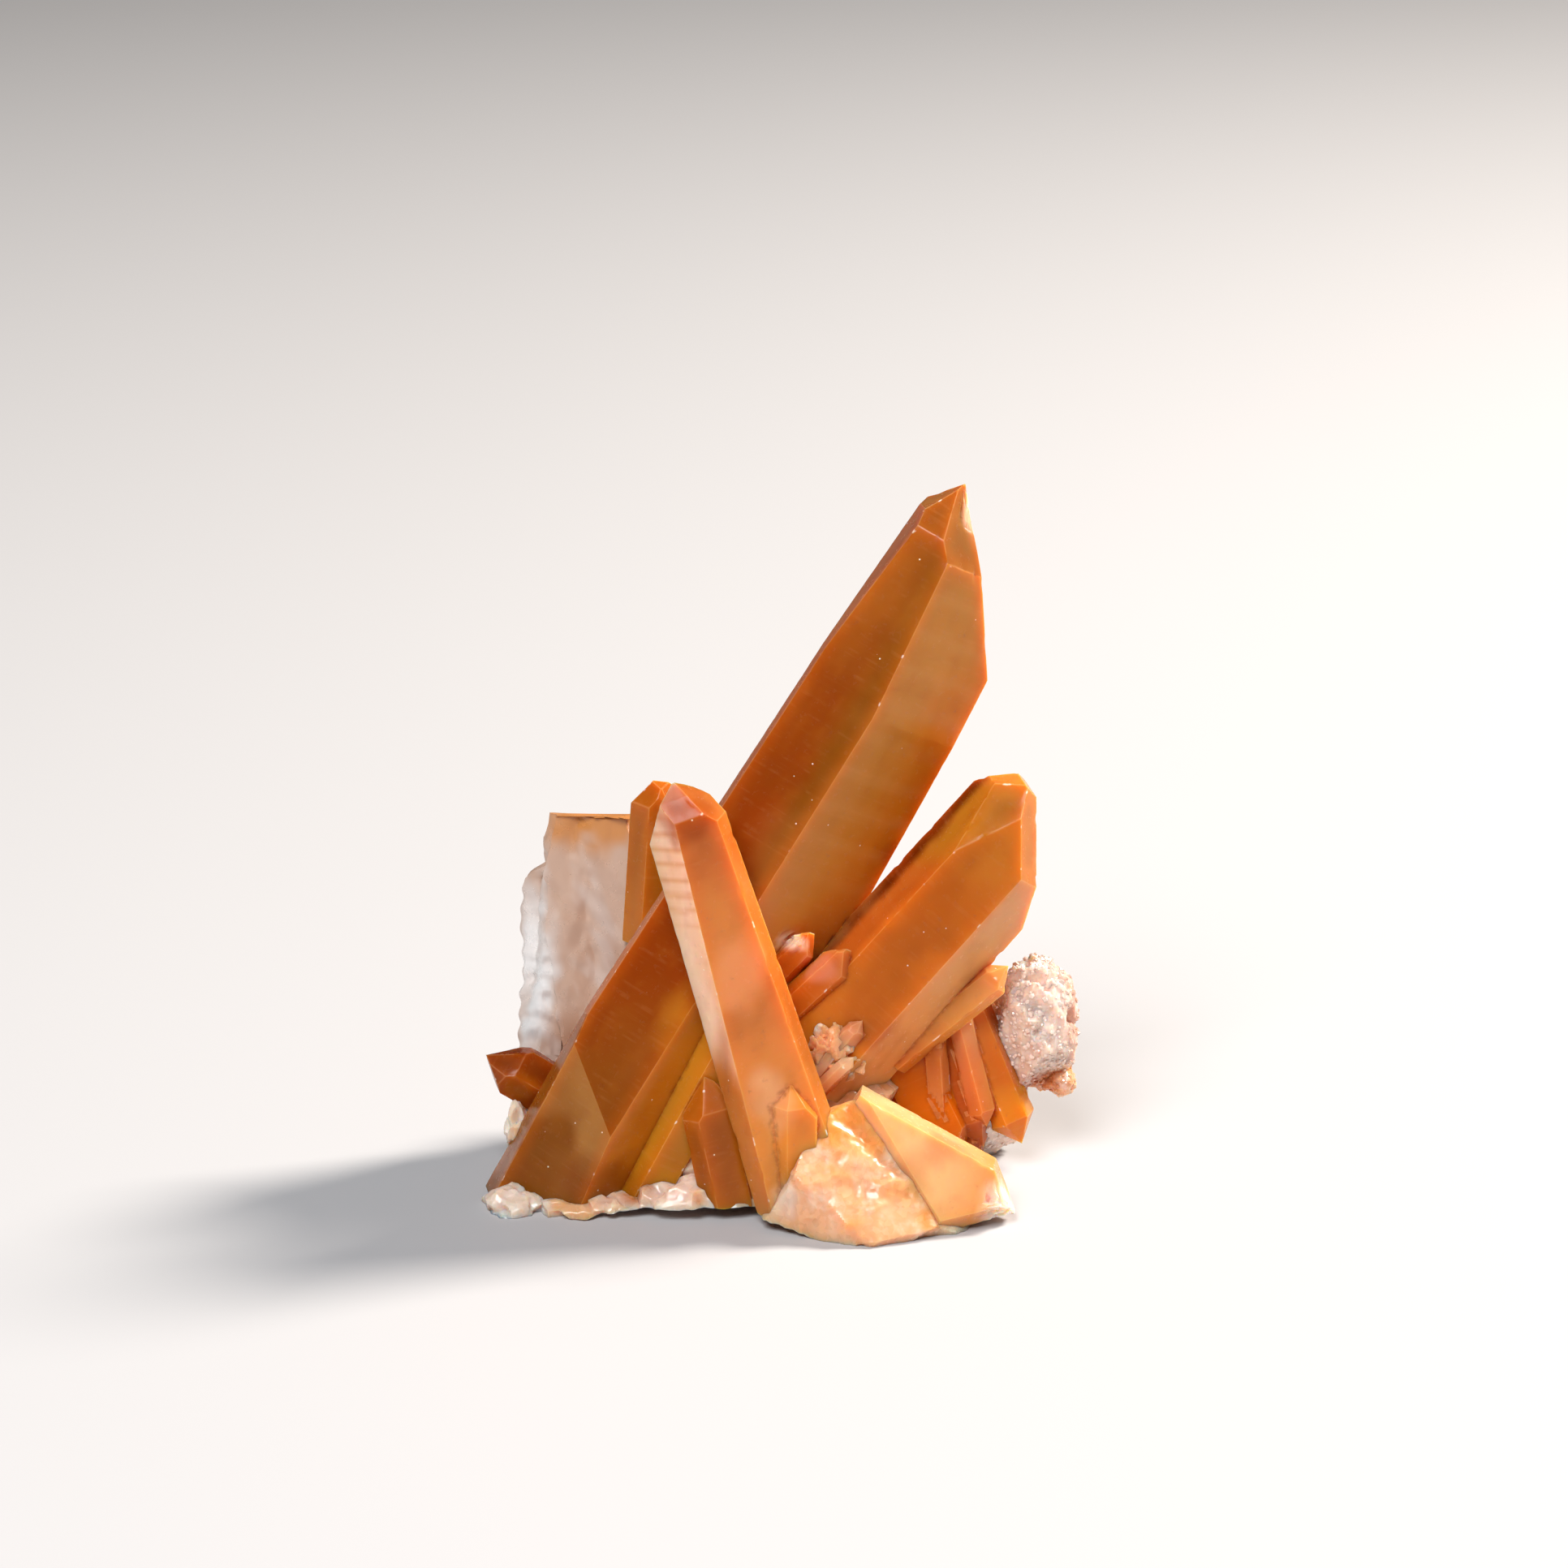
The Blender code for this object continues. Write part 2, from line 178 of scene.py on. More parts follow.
# Rough lumps: an egg of the given radii, pushed in and out by about rough of its radius, with unevenness
# bumps mm across. breaks: how many broken faces go round it. flats: further faces, as (a point on it, the
# way it faces). chips: how many small chipped faces roughen it. grains: hollows of the break, as (depth,
# size). cell: how fine its skin is. points: how many little crystals stand on it, and their least and
# greatest radius.
matrixLumps = {
    "main": dict(
        middle=(-5, 1.5, 4.5), radii=(17, 9.5, 9), rough=0.2, bumps=6, breaks=22, chips=120, cell=0.42,
        grains=((0.5, 2.2), (0.2, 0.8)),
    ),
    "front": dict(
        middle=(7.5, -8, 2.5), radii=(10.5, 8.8, 8.6), rough=0.12, bumps=5, breaks=14, chips=80, cell=0.26,
        grains=((0.6, 3.2), (0.2, 1.2), (0.05, 0.5)),
        flats=(
            ((9.3, -9.6, 6.8), (0.35, -0.62, 0.7)),
            ((9.5, -10, 7.3), (0.2, -0.8, 0.57)),
            ((5, -8, 9.8), (-0.2, -0.2, 1)),
            ((7.2, -7, 10.5), (0.59, 0.15, 0.8)),
            ((14, -11.8, 1.2), (0.66, -0.4, 0.63)),
        ),
    ),
    "back": dict(
        middle=(3, 8, 6), radii=(14, 7.5, 8), rough=0.22, bumps=5, breaks=20, chips=120, cell=0.42,
        grains=((0.6, 2.4), (0.25, 0.9)),
    ),
    "left": dict(
        middle=(-21.8, -6.2, 0), radii=(3.1, 2.8, 2), rough=0.25, bumps=2.2, breaks=9, chips=30, cell=0.2,
        grains=((0.3, 1.6), (0.07, 0.6)),
    ),
    "under": dict(
        middle=(-6.8, -7.2, 0.6), radii=(6.6, 2.9, 2.6), rough=0.2, bumps=3, breaks=10, chips=40, cell=0.24,
        grains=((0.3, 2), (0.08, 0.7)),
    ),
    "rim": dict(
        middle=(-14.2, -7, 0.2), radii=(7, 2.5, 1.5), rough=0.25, bumps=2, breaks=9, chips=40, cell=0.22,
        grains=((0.2, 1.4), (0.06, 0.6)),
    ),
    "sliver": dict(
        middle=(-21.6, -0.5, 4), radii=(1.2, 2.4, 3.4), rough=0.3, bumps=2, breaks=6, chips=20, cell=0.2,
        grains=((0.2, 1.2), (0.1, 0.5)),
    ),
}
druseLumps = {
    "druse": dict(
        middle=(21.3, 5, 12), radii=(4, 4.8, 6.4), rough=0.2, bumps=3, breaks=12, chips=60, cell=0.22,
        grains=((0.3, 0.9), (0.1, 0.4)), points=(900, 0.12, 0.3),
    ),
    "foot": dict(
        middle=(16.4, 6, 5), radii=(4.8, 5, 6.4), rough=0.22, bumps=4, breaks=12, chips=60, cell=0.3,
        grains=((0.3, 0.9), (0.1, 0.4)), points=(400, 0.14, 0.36),
    ),
    "nub": dict(
        middle=(23.5, 4.6, 7), radii=(1.6, 1.5, 1.4), rough=0.2, bumps=1.5, breaks=5, chips=20, cell=0.2,
        grains=((0.1, 0.6), (0.05, 0.3)), points=(70, 0.1, 0.22),
    ),
    "crumb": dict(
        middle=(4.4, -4, 12.4), radii=(3, 2.1, 3.5), rough=0.25, bumps=1.3, breaks=14, chips=60, cell=0.18,
        grains=((0.5, 1.3), (0.2, 0.5)), points=(60, 0.1, 0.24),
    ),
}
# The broken faces and the small chipped ones: how deep they cut, as a share of the radius, and the turn from
# one to the next that varies it
breaking = dict(breaks=(0.24, 2.1), chips=(0.05, 3.7))


# Colour, nodes and meshes


def linear(code):
    # An sRGB hex colour as the linear colour that shaders take.
    parts = np.array([int(code[i:i + 2], 16) for i in (1, 3, 5)]) / 255
    return (*np.where(parts <= 0.04045, parts / 12.92, ((parts + 0.055) / 1.055) ** 2.4).tolist(), 1.0)


def addNode(tree, kind, settings=None, values=None, links=None):
    # A node with its own settings, its inputs' values and the outputs that feed them, by name or number.
    node = tree.nodes.new("ShaderNode" + kind)
    for name, value in (settings or {}).items():
        setattr(node, name, value)
    for key, value in (values or {}).items():
        node.inputs[key].default_value = value
    for key, source in (links or {}).items():
        tree.links.new(source, node.inputs[key])
    return node


def asObject(name, points, faces):
    # A mesh of these points, given in millimetres in the specimen's own frame, in metres round the origin.
    data = bpy.data.meshes.new(name)
    data.from_pydata(((points - middle) * mm).tolist(), [], faces)
    made = bpy.data.objects.new(name, data)
    bpy.context.scene.collection.objects.link(made)
    return made


def pointsOf(piece):
    # The points of a mesh, in millimetres in the specimen's own frame.
    flat = np.empty(len(piece.data.vertices) * 3)
    piece.data.vertices.foreach_get("co", flat)
    return flat.reshape(-1, 3) / mm + middle


def closedSkin(rings):
    # A closed skin from rings of points, one above the other: quads between them and a fan over each end.
    count, around = rings.shape[:2]
    index = np.arange(count * around).reshape(count, around)
    after = np.roll(index, -1, axis=1)
    quads = np.stack([index[:-1], after[:-1], after[1:], index[1:]], axis=-1).reshape(-1, 4)
    low, high = np.full(around, count * around), np.full(around, count * around + 1)
    fans = np.concatenate([
        np.stack([after[0], index[0], low], axis=-1), np.stack([index[-1], after[-1], high], axis=-1),
    ])
    points = np.concatenate([rings.reshape(-1, 3), rings[:1].mean(axis=1), rings[-1:].mean(axis=1)])
    return points, quads.tolist() + fans.tolist()


def joined(name, first, others, operation="UNION"):
    # One closed surface: first with all the others joined to it, or cut out of it.
    for other in others:
        step = first.modifiers.new(other.name, "BOOLEAN")
        step.operation, step.solver, step.object = operation, "MANIFOLD", other
    bpy.context.view_layer.update()
    solid = first.evaluated_get(bpy.context.evaluated_depsgraph_get())
    made = bpy.data.objects.new(name, bpy.data.meshes.new_from_object(solid))
    bpy.context.scene.collection.objects.link(made)
    for piece in (first, *others):
        bpy.data.objects.remove(piece)
    return made


def smooth(piece, angle=32):
    # Soft shading inside each face, crisp lines where faces meet at more than the angle.
    piece.data.shade_smooth()
    piece.data.set_sharp_from_angle(angle=np.radians(angle))
    return piece


# Unevenness, as whole arrays


shuffle = dict(steps=(127.1, 311.7, 74.7), seedStep=53.3, spread=43758.5453)  # odd enough to look random


def noise(points, seed):
    # Smooth unevenness from -1 to 1: a number that looks random at each whole-number place, eased between the
    # eight nearest.
    low = np.floor(points)
    ease = (points - low) ** 2 * (3 - 2 * (points - low))
    total = 0
    for corner in np.ndindex(2, 2, 2):
        phase = (low + corner) @ shuffle["steps"] + seed * shuffle["seedStep"]
        value = np.modf(np.sin(phase) * shuffle["spread"])[0]
        total = total + value * np.where(corner, ease, 1 - ease).prod(axis=-1)
    return total


def uneven(points):
    # The waves that shape the lumps: sines that bend each other, from about -1.5 to 1.5.
    x, y, z = np.moveaxis(points, -1, 0)
    first = np.sin(x + 1.3 * np.sin(y)) * np.sin(y + 1.7 * np.sin(z))
    return first + 0.5 * np.sin(2.3 * z + np.sin(x)) * np.sin(2.3 * x + 0.8 * y)


def cloudy(places, size, seed):
    # Unevenness at three sizes, each half the one before, from about 0 to 1.
    parts = [noise(places / size * 2 ** i, seed + i) / 2 ** i for i in range(3)]
    return 0.5 + 0.36 * sum(parts)


def spread(count):
    # Directions all round, evenly apart by the golden angle.
    i = np.arange(count)
    rise = 1 - 2 * (i + 0.5) / count
    flat = np.sqrt(1 - rise ** 2)
    return np.stack([flat * np.cos(i * golden), flat * np.sin(i * golden), rise], axis=-1)


def globe(around):
    # Directions on a grid of rise and turn: (cos rise cos turn, cos rise sin turn, sin rise).
    rise = np.linspace(-np.pi / 2, np.pi / 2, around // 2 + 1)[:, None]
    turn = np.linspace(0, 2 * np.pi, around, endpoint=False)[None, :]
    flat = np.cos(rise)
    return np.stack([flat * np.cos(turn), flat * np.sin(turn), np.sin(rise) + 0 * turn], axis=-1)


def unit(vectors):
    # Each vector, one long.
    return vectors / np.linalg.norm(vectors, axis=-1, keepdims=True)


def between(low, high, x):
    # 0 before low, 1 past high, eased between. low may be the larger.
    x = np.clip((x - low) / (high - low), 0, 1)
    return x * x * (3 - 2 * x)


# Crystals


def frameOf(foot, tip):
    # The length, the long axis, and the two directions across it that face the front and the right.
    along = np.subtract(tip, foot)
    length = np.linalg.norm(along)
    along = along / length
    front = np.array([0.0, -1, 0]) - along * -along[1]
    front = front / np.linalg.norm(front)
    return length, along, front, np.cross(along, front)


def facesOf(crystal):
    # Each face as (heading, a, b): at t mm along the axis it stands a - b * t from it.
    length = frameOf(crystal["foot"], crystal["tip"])[0]
    headings = crystal["turn"] + stepRound * np.arange(6)
    sides = zip(headings, crystal["sides"], crystal.get("taper", (0,) * 6))
    leans = [(heading, endLean, past) for heading, past in zip(headings, crystal.get("ends", (0,) * 6))]
    leans += crystal.get("cuts", ())
    slopes = [(heading, np.tan(np.radians(lean)), past) for heading, lean, past in leans]
    found = [*sides, *((heading, (length + past) * slope, slope) for heading, slope, past in slopes)]
    return np.array([(heading % 360, a, b) for heading, a, b in found], float)


def planeGaps(local, faces):
    # How far a (front, right, along) place is outside each face.
    turn = np.radians(faces[:, 0])
    out = np.stack([np.cos(turn), np.sin(turn), faces[:, 2]])
    return (local @ out - faces[:, 1]) / np.sqrt(1 + faces[:, 2] ** 2)


def levels(faces, low, high):
    # How far along the axis the corners of the solid lie: where three faces meet that no other face cuts off.
    heading = np.radians(faces[:, 0])
    sides = np.column_stack([np.cos(heading), np.sin(heading), faces[:, 2], faces[:, 1]])
    planes = np.vstack([sides, (0, 0, -1, -low), (0, 0, 1, high)])
    triples = planes[np.array(list(combinations(range(len(planes)), 3)))]
    whole = np.abs(np.linalg.det(triples[:, :, :3])) > 1e-7
    corners = np.linalg.solve(triples[whole][:, :, :3], triples[whole][:, :, 3:])[:, :, 0]
    inside = (corners @ planes[:, :3].T <= planes[:, 3] + 1e-6).all(axis=1)
    return np.unique(np.round(corners[inside][:, 2], 4))


def outlines(faces, t):
    # The outline across the axis at each t, as the corners between neighbouring headings, in order round.
    # Each heading keeps its nearest face, and then no more than the others leave of it: for two headings i
    # and j on either side of k, (h_i sin(j - k) + h_j sin(k - i)) / sin(j - i).
    headings = np.unique(np.round(faces[:, 0], 4))
    reach = faces[:, 1, None] - faces[:, 2, None] * t
    near = np.array([reach[np.isclose(faces[:, 0], heading, atol=1e-3)].min(axis=0) for heading in headings])
    turn = np.radians(headings)
    before = (turn[None, :] - turn[:, None]) % (2 * np.pi)  # from i round to k
    i, k, j = np.meshgrid(*[np.arange(len(turn))] * 3, indexing="ij")
    back, on = before[i, k], before[k, j]
    fits = (back > 1e-6) & (on > 1e-6) & (back + on < np.pi - 1e-3)
    i, k, j, back, on = i[fits], k[fits], j[fits], back[fits], on[fits]
    limit = (near[i] * np.sin(on)[:, None] + near[j] * np.sin(back)[:, None]) / np.sin(back + on)[:, None]
    tight = near.copy()
    np.minimum.at(tight, k, limit)
    nextTurn, nextTight = np.roll(turn, -1), np.roll(tight, -1, axis=0)
    apart = np.sin(nextTurn - turn)[:, None]
    front = (tight * np.sin(nextTurn)[:, None] - nextTight * np.sin(turn)[:, None]) / apart
    right = (nextTight * np.cos(turn)[:, None] - tight * np.cos(nextTurn)[:, None]) / apart
    return np.stack([front, right], axis=-1).transpose(1, 0, 2)


leastBend = 14  # faces that meet at less than this have no edge to speak of, degrees
edgeSteps = (0.09, 0.3)  # mm from an edge at which the skin gets extra lines, so that it can be worn round
edgeShares = (0.12, 0.3)  # the most that these are of a narrow face
beyond = 20  # mm past its tip up to which a crystal's faces are followed


def ringRows(breaks, cell):
    # Levels along the axis: each corner's level, a line close to it on either side, even steps between.
    rows = [breaks]
    for low, high in zip(breaks[:-1], breaks[1:]):
        near = min(edgeSteps[0], (high - low) / 4)
        rows.append(np.linspace(low + near, high - near, max(2, int(np.ceil((high - low) / cell)))))
    return np.unique(np.concatenate(rows))


def ringColumns(corners, cell):
    # Points round each ring: each corner, two lines close to it on either side, and even steps between.
    after = np.roll(corners, -1, axis=1)
    width = np.linalg.norm(after - corners, axis=-1)
    rows = []
    for side in range(corners.shape[1]):
        wide = width[:, side]
        near = [np.minimum(step, wide * share) for step, share in zip(edgeSteps, edgeShares)]
        count = max(1, int(np.ceil(wide.max() / cell)))
        inner = [near[1] + (wide - 2 * near[1]) * i / count for i in range(1, count)]
        places = [0 * wide, *near, *inner, wide - near[1], wide - near[0]]
        share = np.stack(places, axis=1) / np.maximum(wide, 1e-9)[:, None]
        rows.append(corners[:, side, None] + (after - corners)[:, side, None] * share[..., None])
    return np.concatenate(rows, axis=1)


def convexRings(faces, low, high, cell):
    # The rings of a solid with flat faces, as (front, right, along) places.
    rows = ringRows(levels(faces, low, high), cell)
    flat = ringColumns(outlines(faces, rows), cell)
    return np.concatenate([flat, np.broadcast_to(rows[:, None, None], (*flat.shape[:2], 1))], axis=-1)


def edgeGap(gap, faces):
    # How far each point is from the nearest edge of its face: from a face that bends away from it enough.
    turn = np.radians(faces[:, 0])
    out = unit(np.stack([np.cos(turn), np.sin(turn), faces[:, 2]], axis=1))
    bent = out @ out.T < np.cos(np.radians(leastBend))
    return -np.where(bent[gap.argmax(axis=-1)], gap, -np.inf).max(axis=-1)


def crystalSkin(name, crystal):
    # The rings of the flat-faced crystal, turned to its own axis, stood on its foot and worn.
    length, along, front, right = frameOf(crystal["foot"], crystal["tip"])
    faces = facesOf(crystal)
    local = convexRings(faces, -crystal.get("root", 0), length + beyond, crystal["cell"])
    rings = crystal["foot"] + local @ np.stack([front, right, along])
    return asObject(name, *closedSkin(worn(rings, local[..., 2], edgeGap(planeGaps(local, faces), faces))))


relief = dict(
    wave=0.035, waveSize=4.0,  # the gentle waviness of a natural face, and how wide it is, mm
    step=0.018, stepSize=1.7,  # growth steps across the long axis
    stray=0.8, straySize=3.1, skip=0.4, skipSize=7,  # how the steps wander along it and jump
    bevel=0.018, bevelSize=0.14,  # how far the edges are worn in, and how wide
    chip=0.14, chipSize=0.7,  # nicks in the edges: how deep and how far apart
    chipReach=(0.32, 0.05),  # mm from the edge at which they begin and are at their deepest
    chipFew=(0.35, 0.8), chipGrain=0.3,  # which part of the unevenness becomes a nick, and its grain, mm
    bruiseGrain=0.55, bruiseFine=0.2,  # how wide the coarse and the fine grain of a bruise is
)
# Places where a crystal is bruised or broken: the middle, the radii, and how deep the break's grain is, mm
bruises = (
    ((15.6, 3.2, 56.6), (1.0, 2.4, 2.8), 0.35),
    ((18.6, -11.5, 1.7), (2.4, 4, 2.4), 0.9),
    ((1.2, -3.2, 21.9), (1.4, 1.4, 1.2), 0.4),
    ((0.4, -12.7, 2.6), (1.4, 1.4, 2.0), 0.3),
)


def worn(rings, along, edge):
    # A natural face on the flat one, never outside it: each point comes in towards the middle of its ring by
    # a gentle wave, growth steps that saw along the axis, the wear of the edges, their nicks and the bruises.
    drift = along + relief["stray"] * noise(rings / relief["straySize"], 2)
    saw = np.abs(drift) / relief["stepSize"] + relief["skip"] * noise(rings / relief["skipSize"], 3)
    depth = relief["wave"] * (1 + noise(rings / relief["waveSize"], 1)) / 2 + relief["step"] * np.modf(saw)[0]
    depth = depth + relief["bevel"] * np.clip(1 - edge / relief["bevelSize"], 0, 1) ** 2
    chips = between(*relief["chipFew"], noise(rings / relief["chipSize"], 4))
    chips = chips * between(*relief["chipReach"], edge)
    chips = chips * (0.75 + 0.25 * noise(rings / relief["chipGrain"], 5))
    depth = depth + relief["chip"] * chips
    for spot, reach, deep in bruises:
        away = np.linalg.norm((rings - spot) / reach, axis=-1)
        grain = np.abs(noise(rings / relief["bruiseGrain"], 6) + 0.5 * noise(rings / relief["bruiseFine"], 8))
        depth = depth + deep * between(1.1, 0.6, away) * grain
    inward = rings.mean(axis=1, keepdims=True) - rings
    reach = np.linalg.norm(inward, axis=-1, keepdims=True)
    return rings + inward * (np.minimum(depth[..., None], reach * 0.4) / np.maximum(reach, 1e-9))


print("growing the crystals")
grown = {name: crystalSkin(name, crystal) for name, crystal in crystals.items()}


# Lumps of broken quartz


def breakPlanes(shape):
    # The broken faces round a lump, as points and the ways they face: even directions, each cut in by a
    # share of its own, 1 - deep * (1 + sin) / 2.
    radii = np.array(shape["radii"], float)
    planes = [(np.array(point, float), np.array(out, float)) for point, out in shape.get("flats", ())]
    for kind, (deep, turn) in breaking.items():
        out = spread(shape[kind])
        depth = 1 - deep * (1 + np.sin(np.arange(len(out)) * turn)) / 2
        planes += list(zip(shape["middle"] + out * radii * depth[:, None], unit(out / radii)))
    return planes


def lumpReach(shape, out):
    # Where the lump's skin is in each direction: the egg's reach times its unevenness, then no further than
    # any of its broken faces, then in by the grain of the break.
    centre, radii = np.array(shape["middle"], float), np.array(shape["radii"], float)
    reach = out * radii
    reach = reach * (1 + shape["rough"] * uneven((centre + reach) * (np.pi / shape["bumps"])))[..., None]
    share = np.ones(reach.shape[:-1])
    for point, facing in breakPlanes(shape):
        toward = reach @ facing
        room = (point - centre) @ facing
        share = np.where(toward > 1e-9, np.minimum(share, room / np.maximum(toward, 1e-9)), share)
    reach = reach * share[..., None]
    places = centre + reach
    grain = sum(deep * np.abs(noise(places / size, 7 + i)) for i, (deep, size) in enumerate(shape["grains"]))
    return places - out * grain[..., None]


def lumpSkin(name, shape):
    # The lump's reach in every direction of a grid as fine as its cell.
    around = int(2 * np.pi * max(shape["radii"][:2]) / shape["cell"])
    return asObject(name, *closedSkin(lumpReach(shape, globe(around))))


grit = dict(
    seed=5, stray=0.05, lean=0.35,  # how far each strays from an even place, and leans
    tall=(0.2, 0.35),  # its least height, and how much more it may be, in radii
    # foot, shoulder and tip: the rise in radii, the rise in heights, and how wide it is in radii
    rings=((-0.9, 0, 0.9), (0, 0.4, 1), (0, 1.2, 0.12)),
    lowest=1,  # none stands lower than this, mm
)


def littleCrystals(name, shapes):
    # Short six-sided points that stand all over the lumps, each a ring at its foot, one at its shoulder and
    # one at its tip, leaning at random from the way the lump faces.
    chance = np.random.default_rng(grit["seed"])
    made, faces, total = [], [], 0
    for shape in shapes:
        count, low, high = shape["points"]
        out = unit(spread(count) + chance.normal(0, grit["stray"], (count, 3)))
        foot = lumpReach(shape, out)
        size = low + (high - low) * chance.random(count)[:, None, None] ** 2
        lean = chance.normal(0, grit["lean"], (count, 3))
        axis = unit(out / np.array(shape["radii"]) * min(shape["radii"]) + lean)
        side = unit(np.cross(axis, chance.normal(0, 1, (count, 3))))
        turn = np.radians(stepRound) * np.arange(6)[None, :, None]
        ring = side[:, None] * np.cos(turn) + np.cross(axis, side)[:, None] * np.sin(turn)
        least, more = grit["tall"]
        tall = least + more * chance.random(count)[:, None, None]
        rings = [foot[:, None] + axis[:, None] * (deep * size + size * tall * rise) + ring * size * wide
                 for deep, rise, wide in grit["rings"]]
        standing = foot[:, 2] > grit["lowest"]
        count = standing.sum()
        made.append(np.concatenate(rings, axis=1)[standing].reshape(-1, 3))
        # three rings of six points: two bands of quads between them, and the first and the last ring closed
        i = np.arange(6)
        j = (i + 1) % 6
        bands = np.concatenate([np.stack([i, j, j + 6, i + 6], axis=1) + 6 * level for level in (0, 1)])
        start = total + 18 * np.arange(count)[:, None]
        faces += (bands[None] + start[..., None]).reshape(-1, 4).tolist()
        faces += (i[::-1][None] + start).tolist() + (i[None] + 12 + start).tolist()
        total += 18 * count
    return asObject(name, np.concatenate(made), faces)


print("breaking the matrix and the druse")
matrixParts = [lumpSkin(f"matrix_{name}", shape) for name, shape in matrixLumps.items()]
druseParts = [lumpSkin(f"druse_{name}", shape) for name, shape in druseLumps.items()]
druseGrit = littleCrystals("druse_crystals", druseLumps.values())


# The clear shard. blocks: two broken blocks, each with its upright axis, how strong its shell-like ripples
# are, and its faces, as (a point on it, the way it faces). scoops: what broke out of its front, as (middle,
# radii).
shard = dict(
    blocks=(
        dict(
            axis=(-15, 5, 0), shell=0.03, faces=(
                ((-15, 3, 18), (-0.1, -1, 0.1)), ((-15, 8.2, 18), (0.1, 1, 0.2)),
                ((-16, 5, 30.2), (0, 0.1, 1)), ((-19.6, 5, 28), (-1, -0.2, 0.2)),
                ((-19.4, 5, 20), (-1, 0.1, -0.1)), ((-9.5, 5, 18), (1, 0, 0.2)),
            ),
        ),
        dict(
            axis=(-20, 5, 0), shell=0.11, faces=(
                ((-18.6, 3.2, 18), (-0.75, -1, 0.12)), ((-20, 8, 18), (-0.2, 1, 0.2)),
                ((-21, 5, 25), (-0.8, 0, 1)), ((-22.2, 5, 16), (-1, 0.1, 0.02)),
                ((-17, 5, 18), (1, 0, -0.05)), ((-20, 5, 8.6), (-0.4, 0, -1)),
                ((-18, 3.7, 18), (-0.1, -1, 0.1)),
            ),
        ),
    ),
    scoops=(
        ((-21.6, 1.6, 21), (1.8, 3, 4.6)), ((-20.6, 0.2, 13), (1.9, 3.6, 5)), ((-16.4, -4.6, 19), (3, 8, 9)),
    ),
    low=5, high=40, cell=0.26,  # where its blocks start and end, and how fine its skin is, mm
    flow=(2.6, 2.6, 3.4), deep=0.5,  # the flowing relief of the break: how wide and how deep it is, mm
    least=1.1,  # how far in its middle lies, as a share of that depth
    waves=((1, 1), (0.4, 2.6), (0.1, 6)),  # and its waves, as (how much of it, how many times finer)
    shellSize=1.7, shellFrom=(-22, 3, 7),  # how wide the shell-like ripples are, and where they spread from
)


def blockSkin(name, block):
    # A face with out = (x, y, z) stands (((point - axis) . out) - z * t) / r from the upright axis, r its
    # reach across. Then the break's relief comes in, level by level: flow from noise, and a sine of the
    # distance to where it broke.
    axis = np.array(block["axis"], float)
    faces = []
    for point, out in block["faces"]:
        x, y, z = out
        across = np.hypot(x, y)
        heading = np.degrees(np.arctan2(x, -y)) % 360
        faces.append((heading, (np.dot(point, out) - axis @ out) / across, z / across))
    faces = np.array(faces)
    local = convexRings(faces, shard["low"], shard["high"], shard["cell"])
    rings = axis + local @ np.array([[0, -1, 0], [1, 0, 0], [0, 0, 1.0]])
    rings = worn(rings, local[..., 2] * 0, edgeGap(planeGaps(local, faces), faces))
    waves = [part * noise(rings / shard["flow"] * finer, 21 + finer) for part, finer in shard["waves"]]
    away = np.linalg.norm(rings - shard["shellFrom"], axis=-1)
    shell = block["shell"] * np.sin(2 * np.pi * away / shard["shellSize"] + 3 * noise(rings / 3, 23))
    inward = (rings.mean(axis=1, keepdims=True) - rings) * (1, 1, 0)
    inward = inward / np.maximum(np.linalg.norm(inward, axis=-1, keepdims=True), 1e-9)
    depth = shard["deep"] * (shard["least"] + sum(waves)) + block["shell"] + shell
    return asObject(name, *closedSkin(rings + inward * depth[..., None]))


scoop = dict(around=96, ripple=0.07, rippleSize=1.1)  # how fine its grid is, and its ripples, mm


def scoopSkin(name, centre, radii):
    # The shell-like hollow of a conchoidal break: an egg with ripples round its top, from which it broke.
    out = globe(scoop["around"])
    rings = np.array(centre, float) + out * radii
    away = np.linalg.norm(rings - (centre + np.array([0, 0, radii[2]])), axis=-1)
    wave = scoop["ripple"] * np.sin(2 * np.pi * away / scoop["rippleSize"] + noise(rings / 1.5, 9) * 2)
    return asObject(name, *closedSkin(rings + out * wave[..., None]))


print("breaking the shard")
blocks = [blockSkin(f"block_{i}", block) for i, block in enumerate(shard["blocks"])]
scoops = [scoopSkin(f"scoop_{i}", spot, radii) for i, (spot, radii) in enumerate(shard["scoops"])]


# The flat underside and the shallow arch under the front edge

# The block that cuts the underside flat: half its width and its depth. arch: its middle and radii. In mm.
underside = dict(half=60, deep=40, arch=((-5, -9.5, -0.8), (12, 6, 2)))


def cutters(name):
    # The block below the floor and the egg of the arch, which are cut out of what reaches down to them.
    half, deep = underside["half"], underside["deep"]
    box = np.array([(x, y, z) for z in (-deep, 0) for y in (-half, half) for x in (-half, half)], float)
    sides = [(0, 2, 3, 1), (4, 5, 7, 6), (0, 1, 5, 4), (2, 6, 7, 3), (0, 4, 6, 2), (1, 3, 7, 5)]
    return [asObject(f"{name}_floor", box, sides), scoopSkin(f"{name}_arch", *underside["arch"])]


